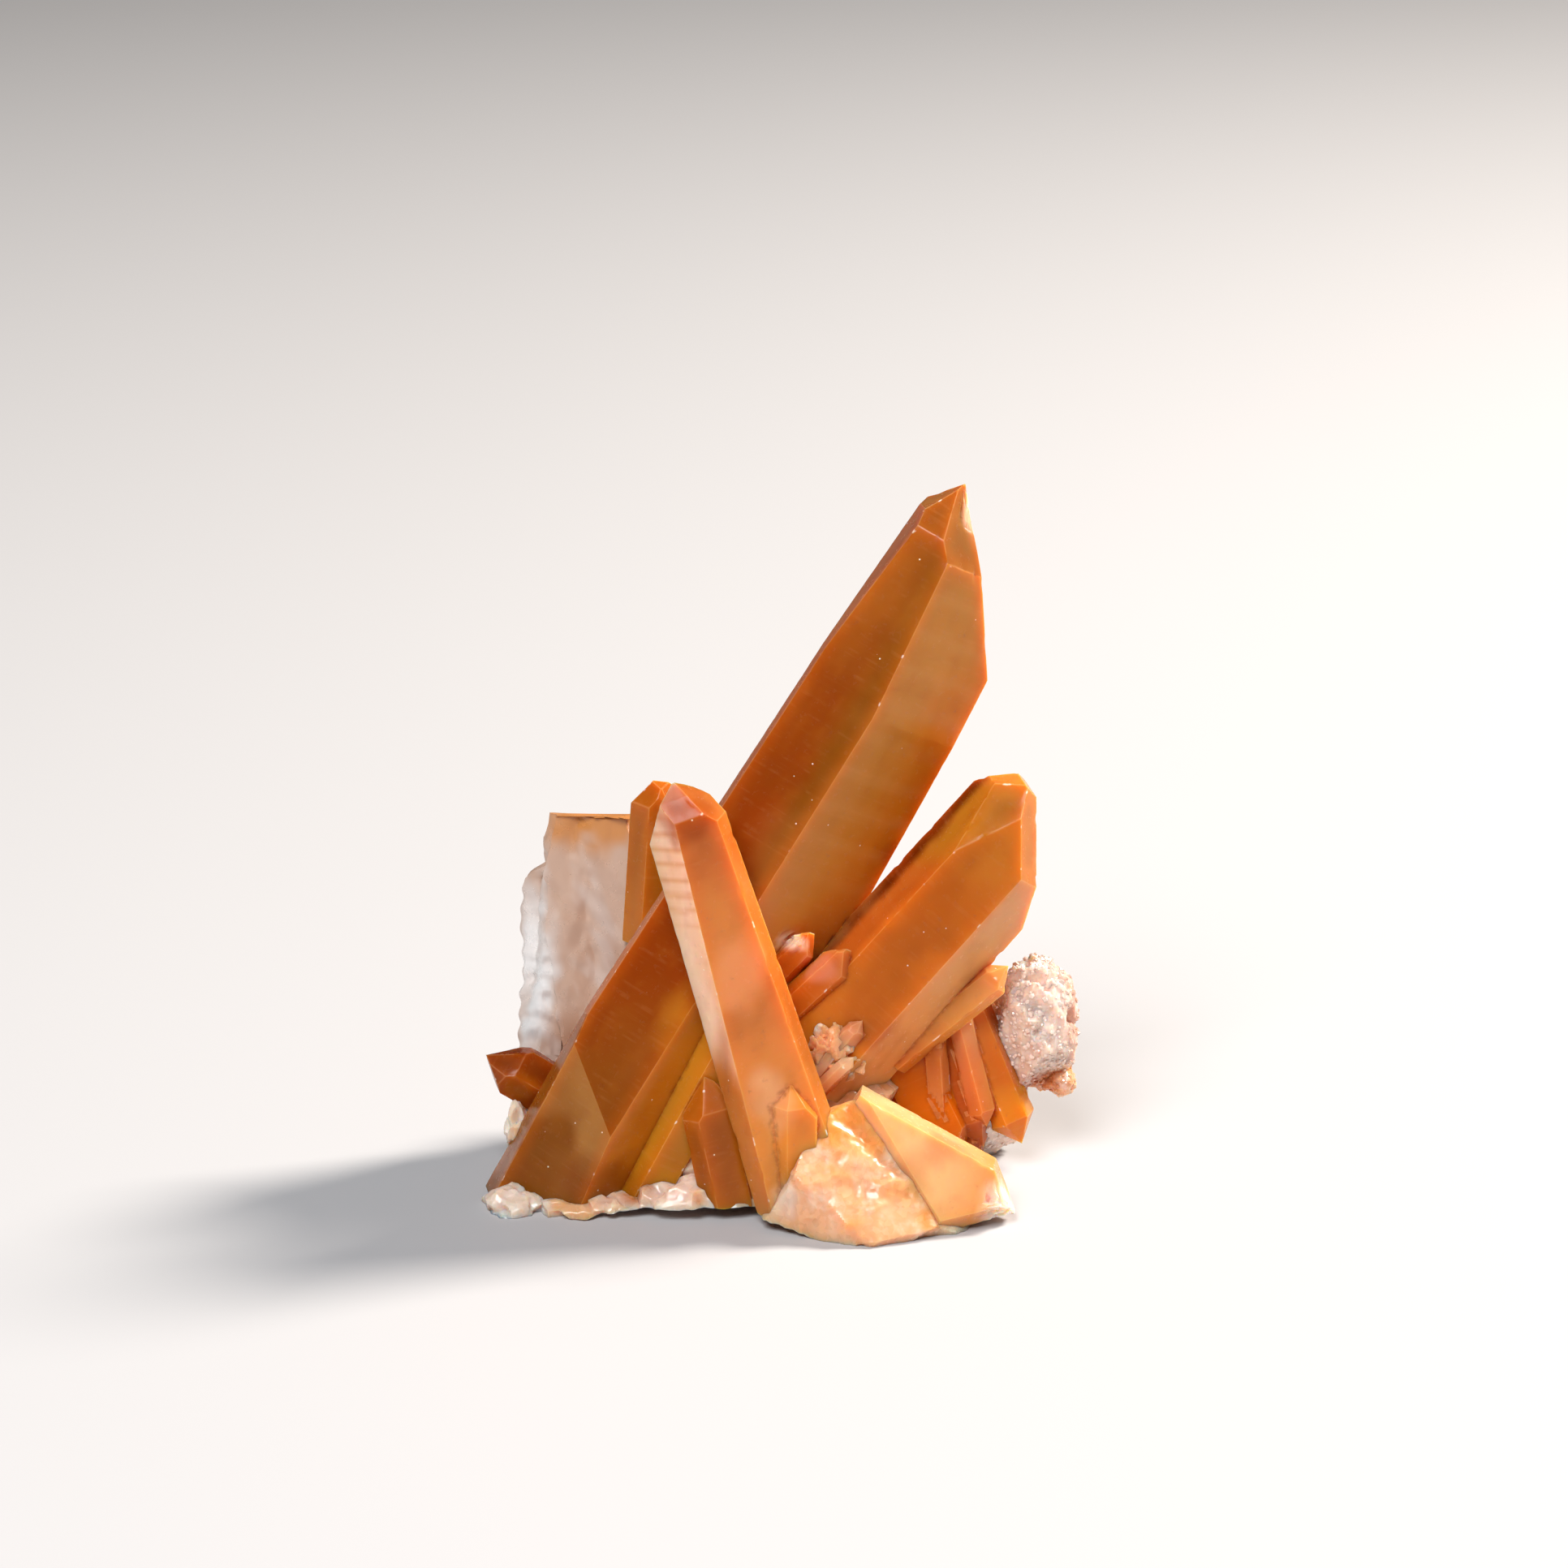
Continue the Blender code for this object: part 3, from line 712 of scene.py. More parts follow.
print("joining")
first, *rest = grown.values()
quartz = joined("quartz", first, rest)
quartz = smooth(joined("tangerine_crystals", quartz, cutters("crystals"), "DIFFERENCE"))
matrix = joined("matrixWhole", matrixParts[0], matrixParts[1:])
matrix = smooth(joined("broken_matrix", matrix, cutters("matrix"), "DIFFERENCE"), 24)
druse = joined("druseWhole", druseParts[0], druseParts[1:])
druse = smooth(joined("sugary_druse", druse, cutters("druse"), "DIFFERENCE"), 24)
clear = joined("shardWhole", blocks[0], blocks[1:])
clear = smooth(joined("clear_shard", clear, scoops, "DIFFERENCE"))
for piece in (quartz, matrix, druse, clear):
    print(piece.name, "faces", len(piece.data.polygons))


# What each point of the crystals is on


def meshFacts(piece):
    # The places of the corners of every face, the middle of each face, and which face each corner is on.
    places = pointsOf(piece)
    count = len(piece.data.loops)
    corner = np.empty(count, np.int32)
    piece.data.loops.foreach_get("vertex_index", corner)
    sizes = np.empty(len(piece.data.polygons), np.int32)
    piece.data.polygons.foreach_get("loop_total", sizes)
    centres = np.empty(len(sizes) * 3)
    piece.data.polygons.foreach_get("center", centres)
    return places[corner], centres.reshape(-1, 3) / mm + middle, np.repeat(np.arange(len(sizes)), sizes)


def surfaceFacts(corners, centres, face):
    # Which crystal each corner is on, from the middle of its face: the one whose surface is nearest, and
    # which of its faces. Then how far along it and how far from the nearest edge, in mm, and the gaps to its
    # other faces.
    gaps, sides, frames = [], [], []
    for crystal in crystals.values():
        length, axis, front, right = frameOf(crystal["foot"], crystal["tip"])
        frames.append((np.array(crystal["foot"]), np.stack([front, right, axis], axis=1), facesOf(crystal)))
        foot, turned, faces = frames[-1]
        local = (centres - foot) @ turned
        gap = planeGaps(local, faces)
        gaps.append(np.maximum(gap.max(axis=1), -crystal.get("root", 0) - local[:, 2]))
        sides.append(gap.argmax(axis=1))
    owner = np.abs(gaps).argmin(axis=0)
    side = np.array(sides)[owner, np.arange(len(centres))]
    owner, side = owner[face], side[face]
    along, edge = np.zeros(len(corners)), np.zeros(len(corners))
    inner = {}
    for number, (name, (foot, turned, faces)) in enumerate(zip(crystals, frames)):
        mine = owner == number
        local = (corners[mine] - foot) @ turned
        gap = planeGaps(local, faces)
        inner[name] = np.zeros((len(corners), len(faces)))
        inner[name][mine] = gap
        along[mine] = local[:, 2]
        edge[mine] = np.clip(edgeGap(gap, faces), 0, None)
    return owner, along, edge, side, inner


furthest = 1.5  # mm from another crystal past which the distance to it doesn't matter


def meetingGap(piece, owner):
    # How far each corner is from the nearest point where two crystals meet: one that has faces of both.
    index = np.empty(len(piece.data.loops), np.int32)
    piece.data.loops.foreach_get("vertex_index", index)
    count = len(piece.data.vertices)
    least, most = np.full(count, len(crystals)), np.full(count, -1)
    np.minimum.at(least, index, owner)
    np.maximum.at(most, index, owner)
    places = pointsOf(piece)
    meeting = places[least != most]
    meeting = meeting[meeting[:, 0].argsort()]
    gap = np.full(count, furthest)
    for part in np.array_split(places[:, 0].argsort(), count // 300):
        low, high = places[part, 0].min() - furthest, places[part, 0].max() + furthest
        close = meeting[np.searchsorted(meeting[:, 0], low):np.searchsorted(meeting[:, 0], high)]
        if len(close):
            away = ((places[part][:, None] - close[None]) ** 2).sum(axis=-1).min(axis=1)
            gap[part] = np.minimum(np.sqrt(away), furthest)
    return gap[index]


def setAttribute(piece, name, values):
    # A number or a colour for each corner of the piece's faces.
    kind = "FLOAT_COLOR" if values.ndim == 2 else "FLOAT"
    layer = piece.data.attributes.new(name, kind, "CORNER")
    layer.data.foreach_set("color" if values.ndim == 2 else "value", values.astype(np.float32).ravel())


# Faces whose colour differs, by their own colour or by painted light and shade: some zones darken a face that
# faces away from the light, or lighten one for a painted sheen, highlight or glow. on: which crystal. faces:
# its sides are 0 to 5 from the first one round, its end faces 6 to 11, its cuts 12 and up. span: from and to
# along
# it, as shares of its length. bands: only in growth bands this far apart, mm. lines: only in lines beside
# this
# face, this far apart. near: only beside this other face, within reach mm. Then the colour and how strong it
# is.
zonesAndPaintedLight = [
    # painted shade: the tall one's left face, turned away from the light, darker and deeper red-orange
    dict(on="tall", faces=(0,), span=(0.3, 1.1), tint="#9C4503", strength=0.9),
    dict(on="tall", faces=(0,), span=(0.24, 0.6), tint="#963600", strength=0.6),
    # painted shade: the end face above the left face, as dark as it, though it faces up to the lamps
    dict(on="tall", faces=(6,), span=(0.3, 1.1), tint="#8A4A12", strength=0.9),
    dict(on="tall", faces=(0,), span=(0.78, 1.1), tint="#B4681C", strength=0.6),
    # painted reflection: an olive band beside the ridge, where another face inside shows
    dict(on="tall", faces=(0, 6), span=(0.42, 1.1), near=1, reach=3.4, tint="#8A560E", strength=0.65),
    # painted light and sheen: the tall one's right face, turned to the light, paler and tan
    dict(on="tall", faces=(1, 12), span=(0.3, 1.1), tint="#B9782E", strength=0.9),
    # painted glow: light coming through, deep orange towards the right face's lower edge
    dict(on="tall", faces=(1, 12), span=(0.25, 0.8), near=2, reach=6.5, tint="#BE680A", strength=0.85),
    # painted glow: the low part of the right face, which faces down, made a lit gold
    dict(on="tall", faces=(1, 12), span=(-0.2, 0.3), tint="#CE7A18", strength=0.9),
    # partly a painted highlight: the narrow left face pinkish, as if catching a sheen
    dict(on="tall", faces=(5, 14, 17), span=(-0.2, 1.1), tint="#B87858", strength=0.8),
    dict(on="tall", faces=(5, 14, 17), span=(0.5, 1.1), tint="#B06A4C", strength=0.7),
    dict(on="tall", faces=(15, 16), span=(-0.2, 1.1), tint="#864A0C", strength=0.8),
    dict(on="front", faces=(5, 12), span=(-0.2, 0.42), tint="#C87434", strength=0.8),
    # painted sheen: the front one's narrow left face pale pink in its upper part
    dict(on="front", faces=(5, 12), span=(0.42, 1.1), tint="#FFD0B0", strength=1),
    dict(on="front", faces=(5, 12, 11), span=(0.72, 0.96), bands=1.3, tint="#E09468", strength=0.7),
    dict(on="tall", faces=(1, 12), span=(0.5, 0.95), bands=3.1, tint="#D8A468", strength=0.1),
    dict(on="front", faces=(1,), span=(-0.2, 1.1), tint="#C86A20", strength=0.6),
    # painted sheen: the right one's lower face pale tan, as if reflecting the floor
    dict(on="right", faces=(1,), span=(-0.2, 1.1), tint="#E0A468", strength=0.85),
    dict(on="right", faces=(5,), span=(-0.2, 0.66), tint="#C0601C", strength=0.9),
    dict(on="right", faces=(5, 12), span=(0.66, 1.1), tint="#BA781C", strength=0.9),
    dict(on="right", faces=(5,), span=(-0.2, 1.0), near=4, reach=2.0, tint="#5E1800", strength=1),
    dict(on="right", faces=(5,), span=(-0.2, 0.5), near=0, reach=1.2, tint="#D87828", strength=0.7),
    # painted highlight: a light line along the ridge of the tall one, low down
    dict(on="tall", faces=(1, 12, 15), span=(-0.2, 0.35), near=0, reach=1.3, tint="#C48C4C", strength=0.5),
    dict(on="tall", faces=(5, 14), span=(-0.2, 0.5), lines=(0, 0.42), tint="#C08468", strength=0.4),
    dict(on="fanRight", faces=(0, 1, 2, 3, 4, 5), span=(0.6, 1.2), tint="#DC8A24", strength=0.7),
]
zoneEdge = 0.08  # how softly a zone begins and ends, as a share of the length
# The pale stones' light and dark clouds: how they are squeezed and lean, their size in mm and their strengths
veins = dict(slant=((1.6, 0, 0), (0, 1, 0), (0.9, 0, 0.7)), size=3, light=0.5, dark=0.4)
# The edge of a soft patch: how uneven it is and how wide its bends are, mm, and where it begins and is full,
# in radii
patchEdge = dict(uneven=0.3, size=1.3, begins=1.25, full=0.4)
# Soft patches of another colour, two of them a painted glow: the middle, the radii, the colour and how strong
# it is
crystalPatchesAndPaintedGlow = [
    ((15.6, 3.2, 56.6), (0.7, 2, 2.6), "#E8C4A8", 0.8),  # bruised tip
    # painted glow: light coming through near the right edge of the tall one
    ((12.7, 2.4, 34.8), (2.5, 3, 5), "#B85C0C", 0.5),  # glow along the right edge of the tall one
    # painted glow: the golden band below the front one made lit, on a face that faces down
    ((-7.2, -5.9, 13.8), (3, 3, 5), "#CC8220", 0.6),  # golden band below the front one
    ((-14, -6.5, 2.5), (4, 4, 3), "#863E07", 0.6),
    ((-21.6, -1.4, 8.4), (1.7, 1.7, 1.5), "#A05406", 0.8),  # golden heart of the stub
    ((-7.0, -10.9, 34.8), (3, 3, 2.5), "#9C4208", 0.85),
    ((12.9, 1.6, 30.5), (1.6, 2.0, 1.6), "#7E2C06", 0.7),  # rust along the top of the right one
    ((10.0, 1.6, 27.4), (1.6, 2.0, 1.8), "#8A3206", 0.7),
    ((-3.2, -11.3, 22), (2.2, 2, 4), "#EAA06C", 0.5),  # paler inside the front one
    ((-0.6, -12, 11.5), (2.0, 2, 3), "#EEB484", 0.6),
    ((13.3, -3.6, 25.6), (5, 3, 2.4), "#B85A10", 0.4),
    ((5.5, -5, 15.5), (3, 2, 3), "#C06418", 0.4),
    ((8.0, -5.0, 14.6), (2.4, 1.2, 1.5), "#A85A1C", 0.7),  # oval facet low on the right one
    ((1.2, -3.2, 21.9), (1.3, 1.2, 0.8), "#F4DCC8", 0.9),  # white chip in the middle
    ((3.5, -4.3, 20.0), (1.8, 1.5, 1.3), "#D89070", 0.6),
    ((18.6, -11.5, 1.7), (2.4, 4, 2.4), "#FBEADC", 0.95),  # broken white end low on the right
    ((0.4, -12.7, 2.6), (1.3, 1.3, 1.9), "#F2D8C4", 0.85),
]
matrixPatches = [
    ((-6.5, -6, 8), (6, 5, 3), "#C07830", 0.85),  # orange behind the feet
    ((-9, -7.6, 2), (7, 5, 3.2), "#E6CABA", 0.95),  # pinkish white along the bottom
    ((-12, -8, 3), (2.6, 3, 2.2), "#A86428", 0.9),
    ((-22, -6.6, 1), (5, 5, 3), "#E8D2C4", 0.95),
    ((-21.6, -0.5, 4), (3, 3, 4), "#EADCD0", 0.95),
    ((4.8, -9.5, 8.6), (3.4, 3.5, 2.6), "#EE9A48", 0.95),  # orange top of the front lump
    ((8.5, -9.5, 7.5), (3, 3, 2), "#EE9E4C", 0.8),
    ((13, -11, 4), (3.5, 3, 3), "#F0AC62", 0.8),
    ((0.4, -12.7, 3.1), (1.3, 1.2, 1.6), "#EBCDB8", 0.9),
    ((12.2, -13.2, 1.6), (1.2, 1.2, 0.9), "#E89038", 0.7),
]
drusePatches = [
    ((4.7, -5, 12.6), (4, 3.5, 4.4), "#F2A870", 0.95),
    ((23.5, 4.6, 7), (2.4, 2.4, 2.0), "#F0B46A", 0.9),
    ((21.5, 4, 7.2), (4, 4, 1.6), "#C8683C", 0.7),
    ((24.8, 5, 13), (1.6, 5, 5), "#D08C6C", 0.6),
]
shardPatchesAndHighlight = [
    ((-15, 5, 30.8), (9, 5, 3.6), "#DC9450", 1.0),
    ((-16, 3, 10), (3, 4, 4), "#C08A68", 0.6),
    # the whiter broken zone at the left; its pure white partly stands in for the highlights on it
    ((-20.8, 3, 17), (2.5, 5, 10), "#FFFFFF", 1.0),
]


def mixed(tint, code, amount):
    # The tint, brought nearer to another colour by an amount of its own at each place.
    return tint + (np.array(linear(code)) - tint) * amount[:, None]


def veined(tint, places, light, dark):
    # Soft light and dark clouds in a stone, stretched along a slant.
    slant = places @ np.array(veins["slant"])
    for code, amount, seed in ((light, veins["light"], 51), (dark, veins["dark"], 61)):
        tint = mixed(tint, code, amount * between(0.5, 0.85, cloudy(slant, veins["size"], seed)))
    return tint


def painted(tint, places, patches):
    # Soft-edged patches: each fades out with the distance from its middle, in radii, made uneven by noise.
    bend = patchEdge["uneven"] * noise(places / patchEdge["size"], 12)
    for centre, radii, code, strength in patches:
        away = np.linalg.norm((places - centre) / radii, axis=1) + bend
        tint = mixed(tint, code, strength * between(patchEdge["begins"], patchEdge["full"], away))
    return tint


# Darker where the iron is thicker, lighter where it is thin, and milky veils. Sizes are in mm.
iron = dict(
    thick="#8A3C06", thin="#E08A30", veil="#E09A50",
    cloudSize=4.5, cloudStrength=0.35, spotSize=1.2, spotStrength=0.14, thinStrength=0.08,
)


def tintOf(owner, along, side, inner, places):
    # The crystal's own three colours eased along it, then its zones, some of them painted shade, sheen,
    # highlights and glow, the iron's clouds and the soft patches, two of them a painted glow.
    lengths = np.array([frameOf(crystal["foot"], crystal["tip"])[0] for crystal in crystals.values()])
    share = along / lengths[owner]
    tints = np.array([[linear(code) for code in crystal["tints"]] for crystal in crystals.values()])[owner]
    lower, upper = between(0, 0.5, share)[:, None], between(0.5, 1, share)[:, None]
    tint = tints[:, 0] * (1 - lower) + tints[:, 1] * lower
    tint = tint * (1 - upper) + tints[:, 2] * upper
    names = list(crystals)
    wobble = share + 0.04 * noise(places / 3, 11)
    for zone in zonesAndPaintedLight:
        start, end = zone["span"]
        amount = (owner == names.index(zone["on"])) & np.isin(side, zone["faces"])
        amount = amount * between(start - zoneEdge, start + zoneEdge, wobble)
        amount = amount * between(end + zoneEdge, end - zoneEdge, wobble)
        if "bands" in zone:
            phase = 2 * np.pi * along / zone["bands"] + noise(places / 2, 14)
            amount = amount * between(0, 1, np.sin(phase))
        if "lines" in zone:
            beside, apart = zone["lines"]
            phase = 2 * np.pi * -inner[zone["on"]][:, beside] / apart + 2 * noise(places / 3, 15)
            amount = amount * between(0.2, 0.9, np.sin(phase))
        if "near" in zone:
            gap = -inner[zone["on"]][:, zone["near"]] + 0.6 * noise(places / 2.2, 13)
            amount = amount * between(zone["reach"], zone["reach"] * 0.25, gap)
        tint = mixed(tint, zone["tint"], amount * zone["strength"])
    clouds, spots = cloudy(places, iron["cloudSize"], 31), cloudy(places, iron["spotSize"], 41)
    haze = np.array([crystal["haze"] for crystal in crystals.values()])[owner]
    tint = mixed(tint, iron["thick"], iron["cloudStrength"] * between(0.5, 0.85, clouds))
    tint = mixed(tint, iron["veil"], haze * between(0.5, 0.15, clouds))
    tint = mixed(tint, iron["thick"], iron["spotStrength"] * between(0.5, 0.9, spots))
    tint = mixed(tint, iron["thin"], iron["thinStrength"] * between(0.5, 0.1, spots))
    return painted(tint, places, crystalPatchesAndPaintedGlow)


print("colouring the crystals")
corners, centres, face = meshFacts(quartz)
owner, along, edge, side, inner = surfaceFacts(corners, centres, face)
# the crystals' own colours, with painted shade, sheen, highlights and glow from some zones and patches
setAttribute(quartz, "tint", tintOf(owner, along, side, inner, corners))
setAttribute(quartz, "along", along)
setAttribute(quartz, "edge", edge)
setAttribute(quartz, "crevice", meetingGap(quartz, owner))
# The pale stones: the colour, its light and dark clouds, and its patches
for piece, code, light, dark, patches in (
    (matrix, "#E8AE82", "#F4D4B4", "#DC9660", matrixPatches),
    (druse, "#E6CEC0", "#F2E4DC", "#C8A490", drusePatches),
    (clear, "#DAB8A2", "#F2E6E0", "#B08C78", shardPatchesAndHighlight),
    (druseGrit, "#E4D0C4", "#F6ECE4", "#C8A490", drusePatches),
):
    places = meshFacts(piece)[0]
    base = veined(np.tile(linear(code), (len(places), 1)), places, light, dark)
    setAttribute(piece, "tint", painted(base, places, patches))


# Materials

quartzIor = 1.544  # how strongly quartz bends light


def newMaterial(name, values):
    # A material whose shader has these values.
    made = bpy.data.materials.new(name)
    made.use_nodes = True
    skin = made.node_tree.nodes["Principled BSDF"]
    for key, value in values.items():
        skin.inputs[key].default_value = value
    return made, made.node_tree, skin


quartzSkin = dict(
    # glow: painted light near the edges. line: the worn edges, partly a painted highlight
    rust="#8E3C0A", milk="#E6A468", paintedGlow="#E87818", wornEdgeAndHighlight="#F8C490", chipped="#F6E6DA", speck="#FFF0E0",
    dust="#7A3206",
    mottle=0.6, growth=0.45, chips=1.1, specks=1.3,  # sizes of the patterns, mm
    depth=4, reach=(1.0, 0.42, 0.16),  # how far light goes in, mm, and how much less green and blue do
    roughness=(0.16, 0.3), bump=0.004,  # its least and most, and how deep the growth lines look, mm
)


def tangerineQuartz():
    # Quartz coloured by iron oxide in and on it: a cloudy orange stone that light goes a few millimetres
    # into, with a satin skin, a painted glow that makes it lighter towards its edges, paler worn edges that
    # are partly a painted highlight, rust where crystals meet, fine dust, a few white specks and chips and
    # growth lines across the faces.
    look = quartzSkin
    made, tree, skin = newMaterial("iron_stained_quartz", {
        "IOR": quartzIor, "Specular IOR Level": 0.16,
        "Subsurface Weight": 0.88, "Subsurface Radius": look["reach"], "Subsurface Scale": look["depth"] * mm,
    })
    place = addNode(tree, "TexCoord").outputs["Object"]
    colour = addNode(tree, "Attribute", {"attribute_name": "tint"}).outputs["Color"]
    edge, crevice, along = (
        addNode(tree, "Attribute", {"attribute_name": name}).outputs["Fac"]
        for name in ("edge", "crevice", "along")
    )
    mottle = addNode(tree, "TexNoise", None,
                     {"Scale": 1 / (look["mottle"] * mm), "Detail": 3, "Roughness": 0.7},
                     {"Vector": place}).outputs["Fac"]
    chip = addNode(tree, "TexNoise", None, {"Scale": 1 / (look["chips"] * mm), "Detail": 2},
                   {"Vector": place}).outputs["Fac"]
    growth = addNode(tree, "TexNoise", {"noise_dimensions": "1D"}, {"Scale": 1 / look["growth"], "Detail": 2},
                     {"W": along}).outputs["Fac"]
    cells = addNode(tree, "TexVoronoi", None, {"Scale": 1 / (look["specks"] * mm)}, {"Vector": place})
    # Each layer: its colour, and the ranges whose product is its amount, as (what, from, to, most)
    layers = (
        ("milk", ((growth, 0.5, 0.66, 0.06), (chip, 0.45, 0.65, 1.0))),  # growth lines, here and there
        # painted glow: light that comes out near the edges, painted into the colour
        ("paintedGlow", ((edge, 1.2, 0.0, 0.14),)),  # light that comes out near the edges
        # the worn edges, paler: partly wear, partly a painted highlight along them
        ("wornEdgeAndHighlight", ((edge, 0.1, 0.03, 0.14),)),  # the worn edges
        ("dust", ((mottle, 0.56, 0.76, 0.34), (chip, 0.45, 0.65, 1.0))),
        ("rust", ((crevice, 0.32, 0.0, 0.4), (mottle, 0.3, 0.65, 1.0))),
        ("chipped", ((edge, 0.14, 0.04, 0.8), (chip, 0.66, 0.72, 1.0))),
        ("speck", ((cells.outputs["Distance"], 0.06, 0.045, 0.8), (cells.outputs["Color"], 0.6, 0.61, 1.0))),
    )
    for name, ranges in layers:
        amount = None
        for source, start, end, most in ranges:
            share = addNode(tree, "MapRange", {"interpolation_type": "SMOOTHSTEP"},
                            {"From Min": start, "From Max": end, "To Max": most}, {"Value": source})
            share = share.outputs["Result"]
            amount = share if amount is None else addNode(
                tree, "Math", {"operation": "MULTIPLY"}, None, {0: amount, 1: share}).outputs["Value"]
        colour = addNode(tree, "Mix", {"data_type": "RGBA"}, {7: linear(look[name])},
                         {0: amount, 6: colour}).outputs[2]
    tree.links.new(colour, skin.inputs["Base Color"])
    glossy, dull = look["roughness"]
    rough = addNode(tree, "MapRange", None,
                    {"From Min": 0.3, "From Max": 0.7, "To Min": glossy, "To Max": dull}, {"Value": mottle})
    tree.links.new(rough.outputs["Result"], skin.inputs["Roughness"])
    bump = addNode(tree, "Bump", None, {"Strength": 0.5, "Distance": look["bump"] * mm}, {"Height": growth})
    tree.links.new(bump.outputs["Normal"], skin.inputs["Normal"])
    return made


# The two broken stones. stain: how much of the stained colour shows, a share. Then, in mm, depth: how far
# light goes in. patch, grain: sizes of the patterns. bump: how deep the grain looks.
milky = dict(clean="#F6DCC4", stained="#EFA45C", stain=0.6, depth=1.6, patch=3.0, grain=0.5, bump=0.02)
sugary = dict(clean="#FAF2EC", stained="#E4B89C", stain=0.3, depth=1.2, patch=2.0, grain=0.35, bump=0.05)


def brokenQuartz(name, look):
    # Rough broken quartz, milky or sugary: a pale translucent stone with glassy facets and its own grain.
    made, tree, skin = newMaterial(name, {
        "IOR": quartzIor, "Subsurface Weight": 1.0, "Subsurface Radius": (1.0, 0.6, 0.36),
        "Subsurface Scale": look["depth"] * mm,
    })
    place = addNode(tree, "TexCoord").outputs["Object"]
    colour = addNode(tree, "Attribute", {"attribute_name": "tint"}).outputs["Color"]
    patches = addNode(tree, "TexNoise", None,
                      {"Scale": 1 / (look["patch"] * mm), "Detail": 4, "Roughness": 0.6},
                      {"Vector": place}).outputs["Fac"]
    grains = addNode(tree, "TexVoronoi", None, {"Scale": 1 / (look["grain"] * mm)}, {"Vector": place})
    for code, start, end, most in (("stained", 0.5, 0.72, look["stain"]), ("clean", 0.48, 0.3, 0.6)):
        amount = addNode(tree, "MapRange", {"interpolation_type": "SMOOTHSTEP"},
                         {"From Min": start, "From Max": end, "To Max": most}, {"Value": patches})
        colour = addNode(tree, "Mix", {"data_type": "RGBA"}, {7: linear(look[code])},
                         {0: amount.outputs["Result"], 6: colour}).outputs[2]
    shade, rough = (
        addNode(tree, "MapRange", None, {"To Min": low, "To Max": high},
                {"Value": grains.outputs["Color"]}).outputs["Result"]
        for low, high in ((0.93, 1.04), (0.1, 0.4))  # each grain's own shade and gloss
    )
    colour = addNode(tree, "Mix", {"data_type": "RGBA", "blend_type": "MULTIPLY"}, {0: 1.0},
                     {6: colour, 7: shade}).outputs[2]
    tree.links.new(colour, skin.inputs["Base Color"])
    tree.links.new(rough, skin.inputs["Roughness"])
    bump = addNode(tree, "Bump", None, {"Strength": 0.7, "Distance": look["bump"] * mm},
                   {"Height": grains.outputs["Distance"]})
    tree.links.new(bump.outputs["Normal"], skin.inputs["Normal"])
    return made


glassy = dict(clear=0.25, haze=2.5, roughness=(0.05, 0.5))  # clear: how much light goes through. haze: in mm


def clearQuartz():
    # Clear quartz, broken like glass: partly see-through, slightly pink, hazy in patches.
    made, tree, skin = newMaterial("clear_quartz", {
        "IOR": quartzIor, "Transmission Weight": glassy["clear"],
    })
    place = addNode(tree, "TexCoord").outputs["Object"]
    tint = addNode(tree, "Attribute", {"attribute_name": "tint"}).outputs["Color"]
    haze = addNode(tree, "TexNoise", None, {"Scale": 1 / (glassy["haze"] * mm), "Detail": 4},
                   {"Vector": place}).outputs["Fac"]
    glossy, dull = glassy["roughness"]
    rough = addNode(tree, "MapRange", None,
                    {"From Min": 0.35, "From Max": 0.7, "To Min": glossy, "To Max": dull}, {"Value": haze})
    tree.links.new(tint, skin.inputs["Base Color"])
    tree.links.new(rough.outputs["Result"], skin.inputs["Roughness"])
    return made


def sugaryPoints():
    # The little points of the druse: clear to milky quartz, so small and bright that they sparkle.
    made, tree, skin = newMaterial("clear_quartz_points", {"IOR": quartzIor, "Roughness": 0.12})
    tint = addNode(tree, "Attribute", {"attribute_name": "tint"}).outputs["Color"]
    tree.links.new(tint, skin.inputs["Base Color"])
    return made


print("dressing")
for piece, stone in (
    (quartz, tangerineQuartz()), (matrix, brokenQuartz("milky_quartz", milky)),
    (druse, brokenQuartz("sugary_quartz", sugary)), (clear, clearQuartz()), (druseGrit, sugaryPoints()),
):
    piece.data.materials.clear()
    piece.data.materials.append(stone)
    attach(piece, "root")
    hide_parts("quartz_cluster")


# Stage, light and camera

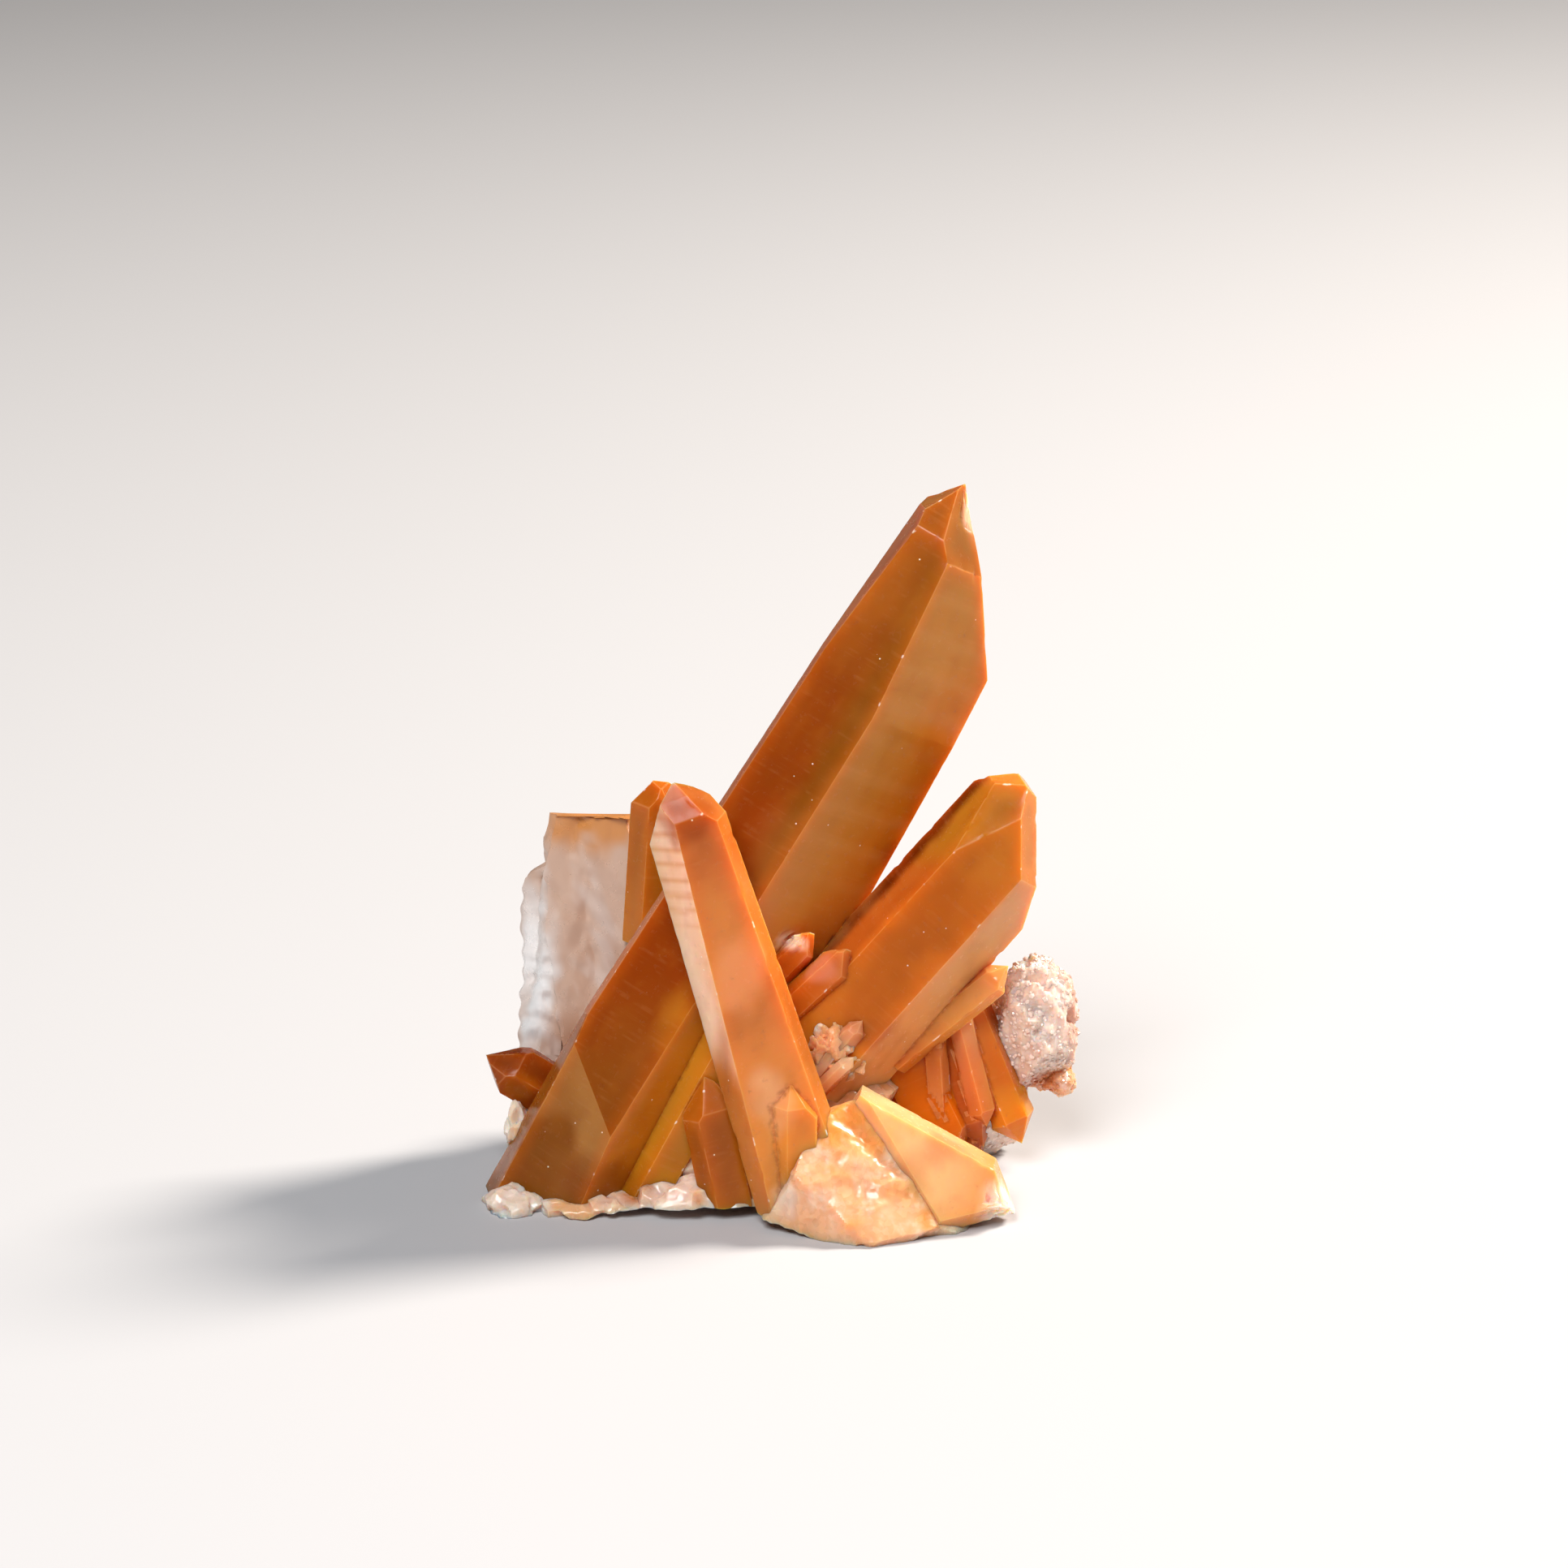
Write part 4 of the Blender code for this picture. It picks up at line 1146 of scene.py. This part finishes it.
# lamps: each with its place, how wide it is, its power and its colour. board: half its width. In metres here.
studio = dict(
    board=3, boardColour="#BCBDC0", aim=(0, 0, 0.025), sky="#E4E8F0", skyStrength=0.08,
    lamps=dict(
        key=((0.62, 0.24, 0.6), 0.25, 15, "#FFF4E8"), fill=((-0.2, -0.6, 0.75), 0.5, 9, "#FFFFFF"),
    ),
)
# The eye and what it looks at, in the specimen's own frame, and the lens and its sensor, all in mm
view = dict(at=(0.5, -382.5, 151.35), toward=(0.5, 0, 34.4), lens=112.9, sensor=36, nearest=10)


def stage():
    # A wide board under the specimen.
    wide = studio["board"] / mm
    corners = np.array([(-wide, -wide, 0), (wide, -wide, 0), (wide, wide, 0), (-wide, wide, 0)])
    floor = asObject("floor", corners, [(0, 1, 2, 3)])
    look = {"Base Color": linear(studio["boardColour"]), "Roughness": 0.9}
    floor.data.materials.append(newMaterial("matt_white_board", look)[0])


def pointed(name, data, at, toward):
    # A light or a camera at one place, looking at another.
    made = bpy.data.objects.new(name, data)
    made.location = at
    made.rotation_euler = Vector(np.subtract(toward, at)).to_track_quat("-Z", "Y").to_euler()
    bpy.context.scene.collection.objects.link(made)
    return made


def areaLight(name, at, size, power, code):
    # A round soft lamp.
    lamp = bpy.data.lights.new(name, "AREA")
    lamp.shape = "DISK"
    lamp.size = size
    lamp.energy = power
    lamp.color = linear(code)[:3]
    pointed(name, lamp, at, studio["aim"])


def camera():
    # The photograph's own angle of view.
    eye = bpy.data.cameras.new("camera")
    eye.lens = view["lens"]
    eye.sensor_width = view["sensor"]
    eye.clip_start = view["nearest"] * mm
    at, toward = ((np.array(view[key]) - middle) * mm for key in ("at", "toward"))
    bpy.context.scene.camera = pointed("camera", eye, at, toward)


print("lighting")
stage()
for name, lamp in studio["lamps"].items():
    areaLight(name, *lamp)
camera()
world = bpy.data.worlds.new("studio")
world.use_nodes = True
sky = world.node_tree.nodes["Background"]
sky.inputs["Color"].default_value = linear(studio["sky"])
sky.inputs["Strength"].default_value = studio["skyStrength"]
bpy.context.scene.world = world
bpy.context.scene.view_settings.view_transform = "Standard"
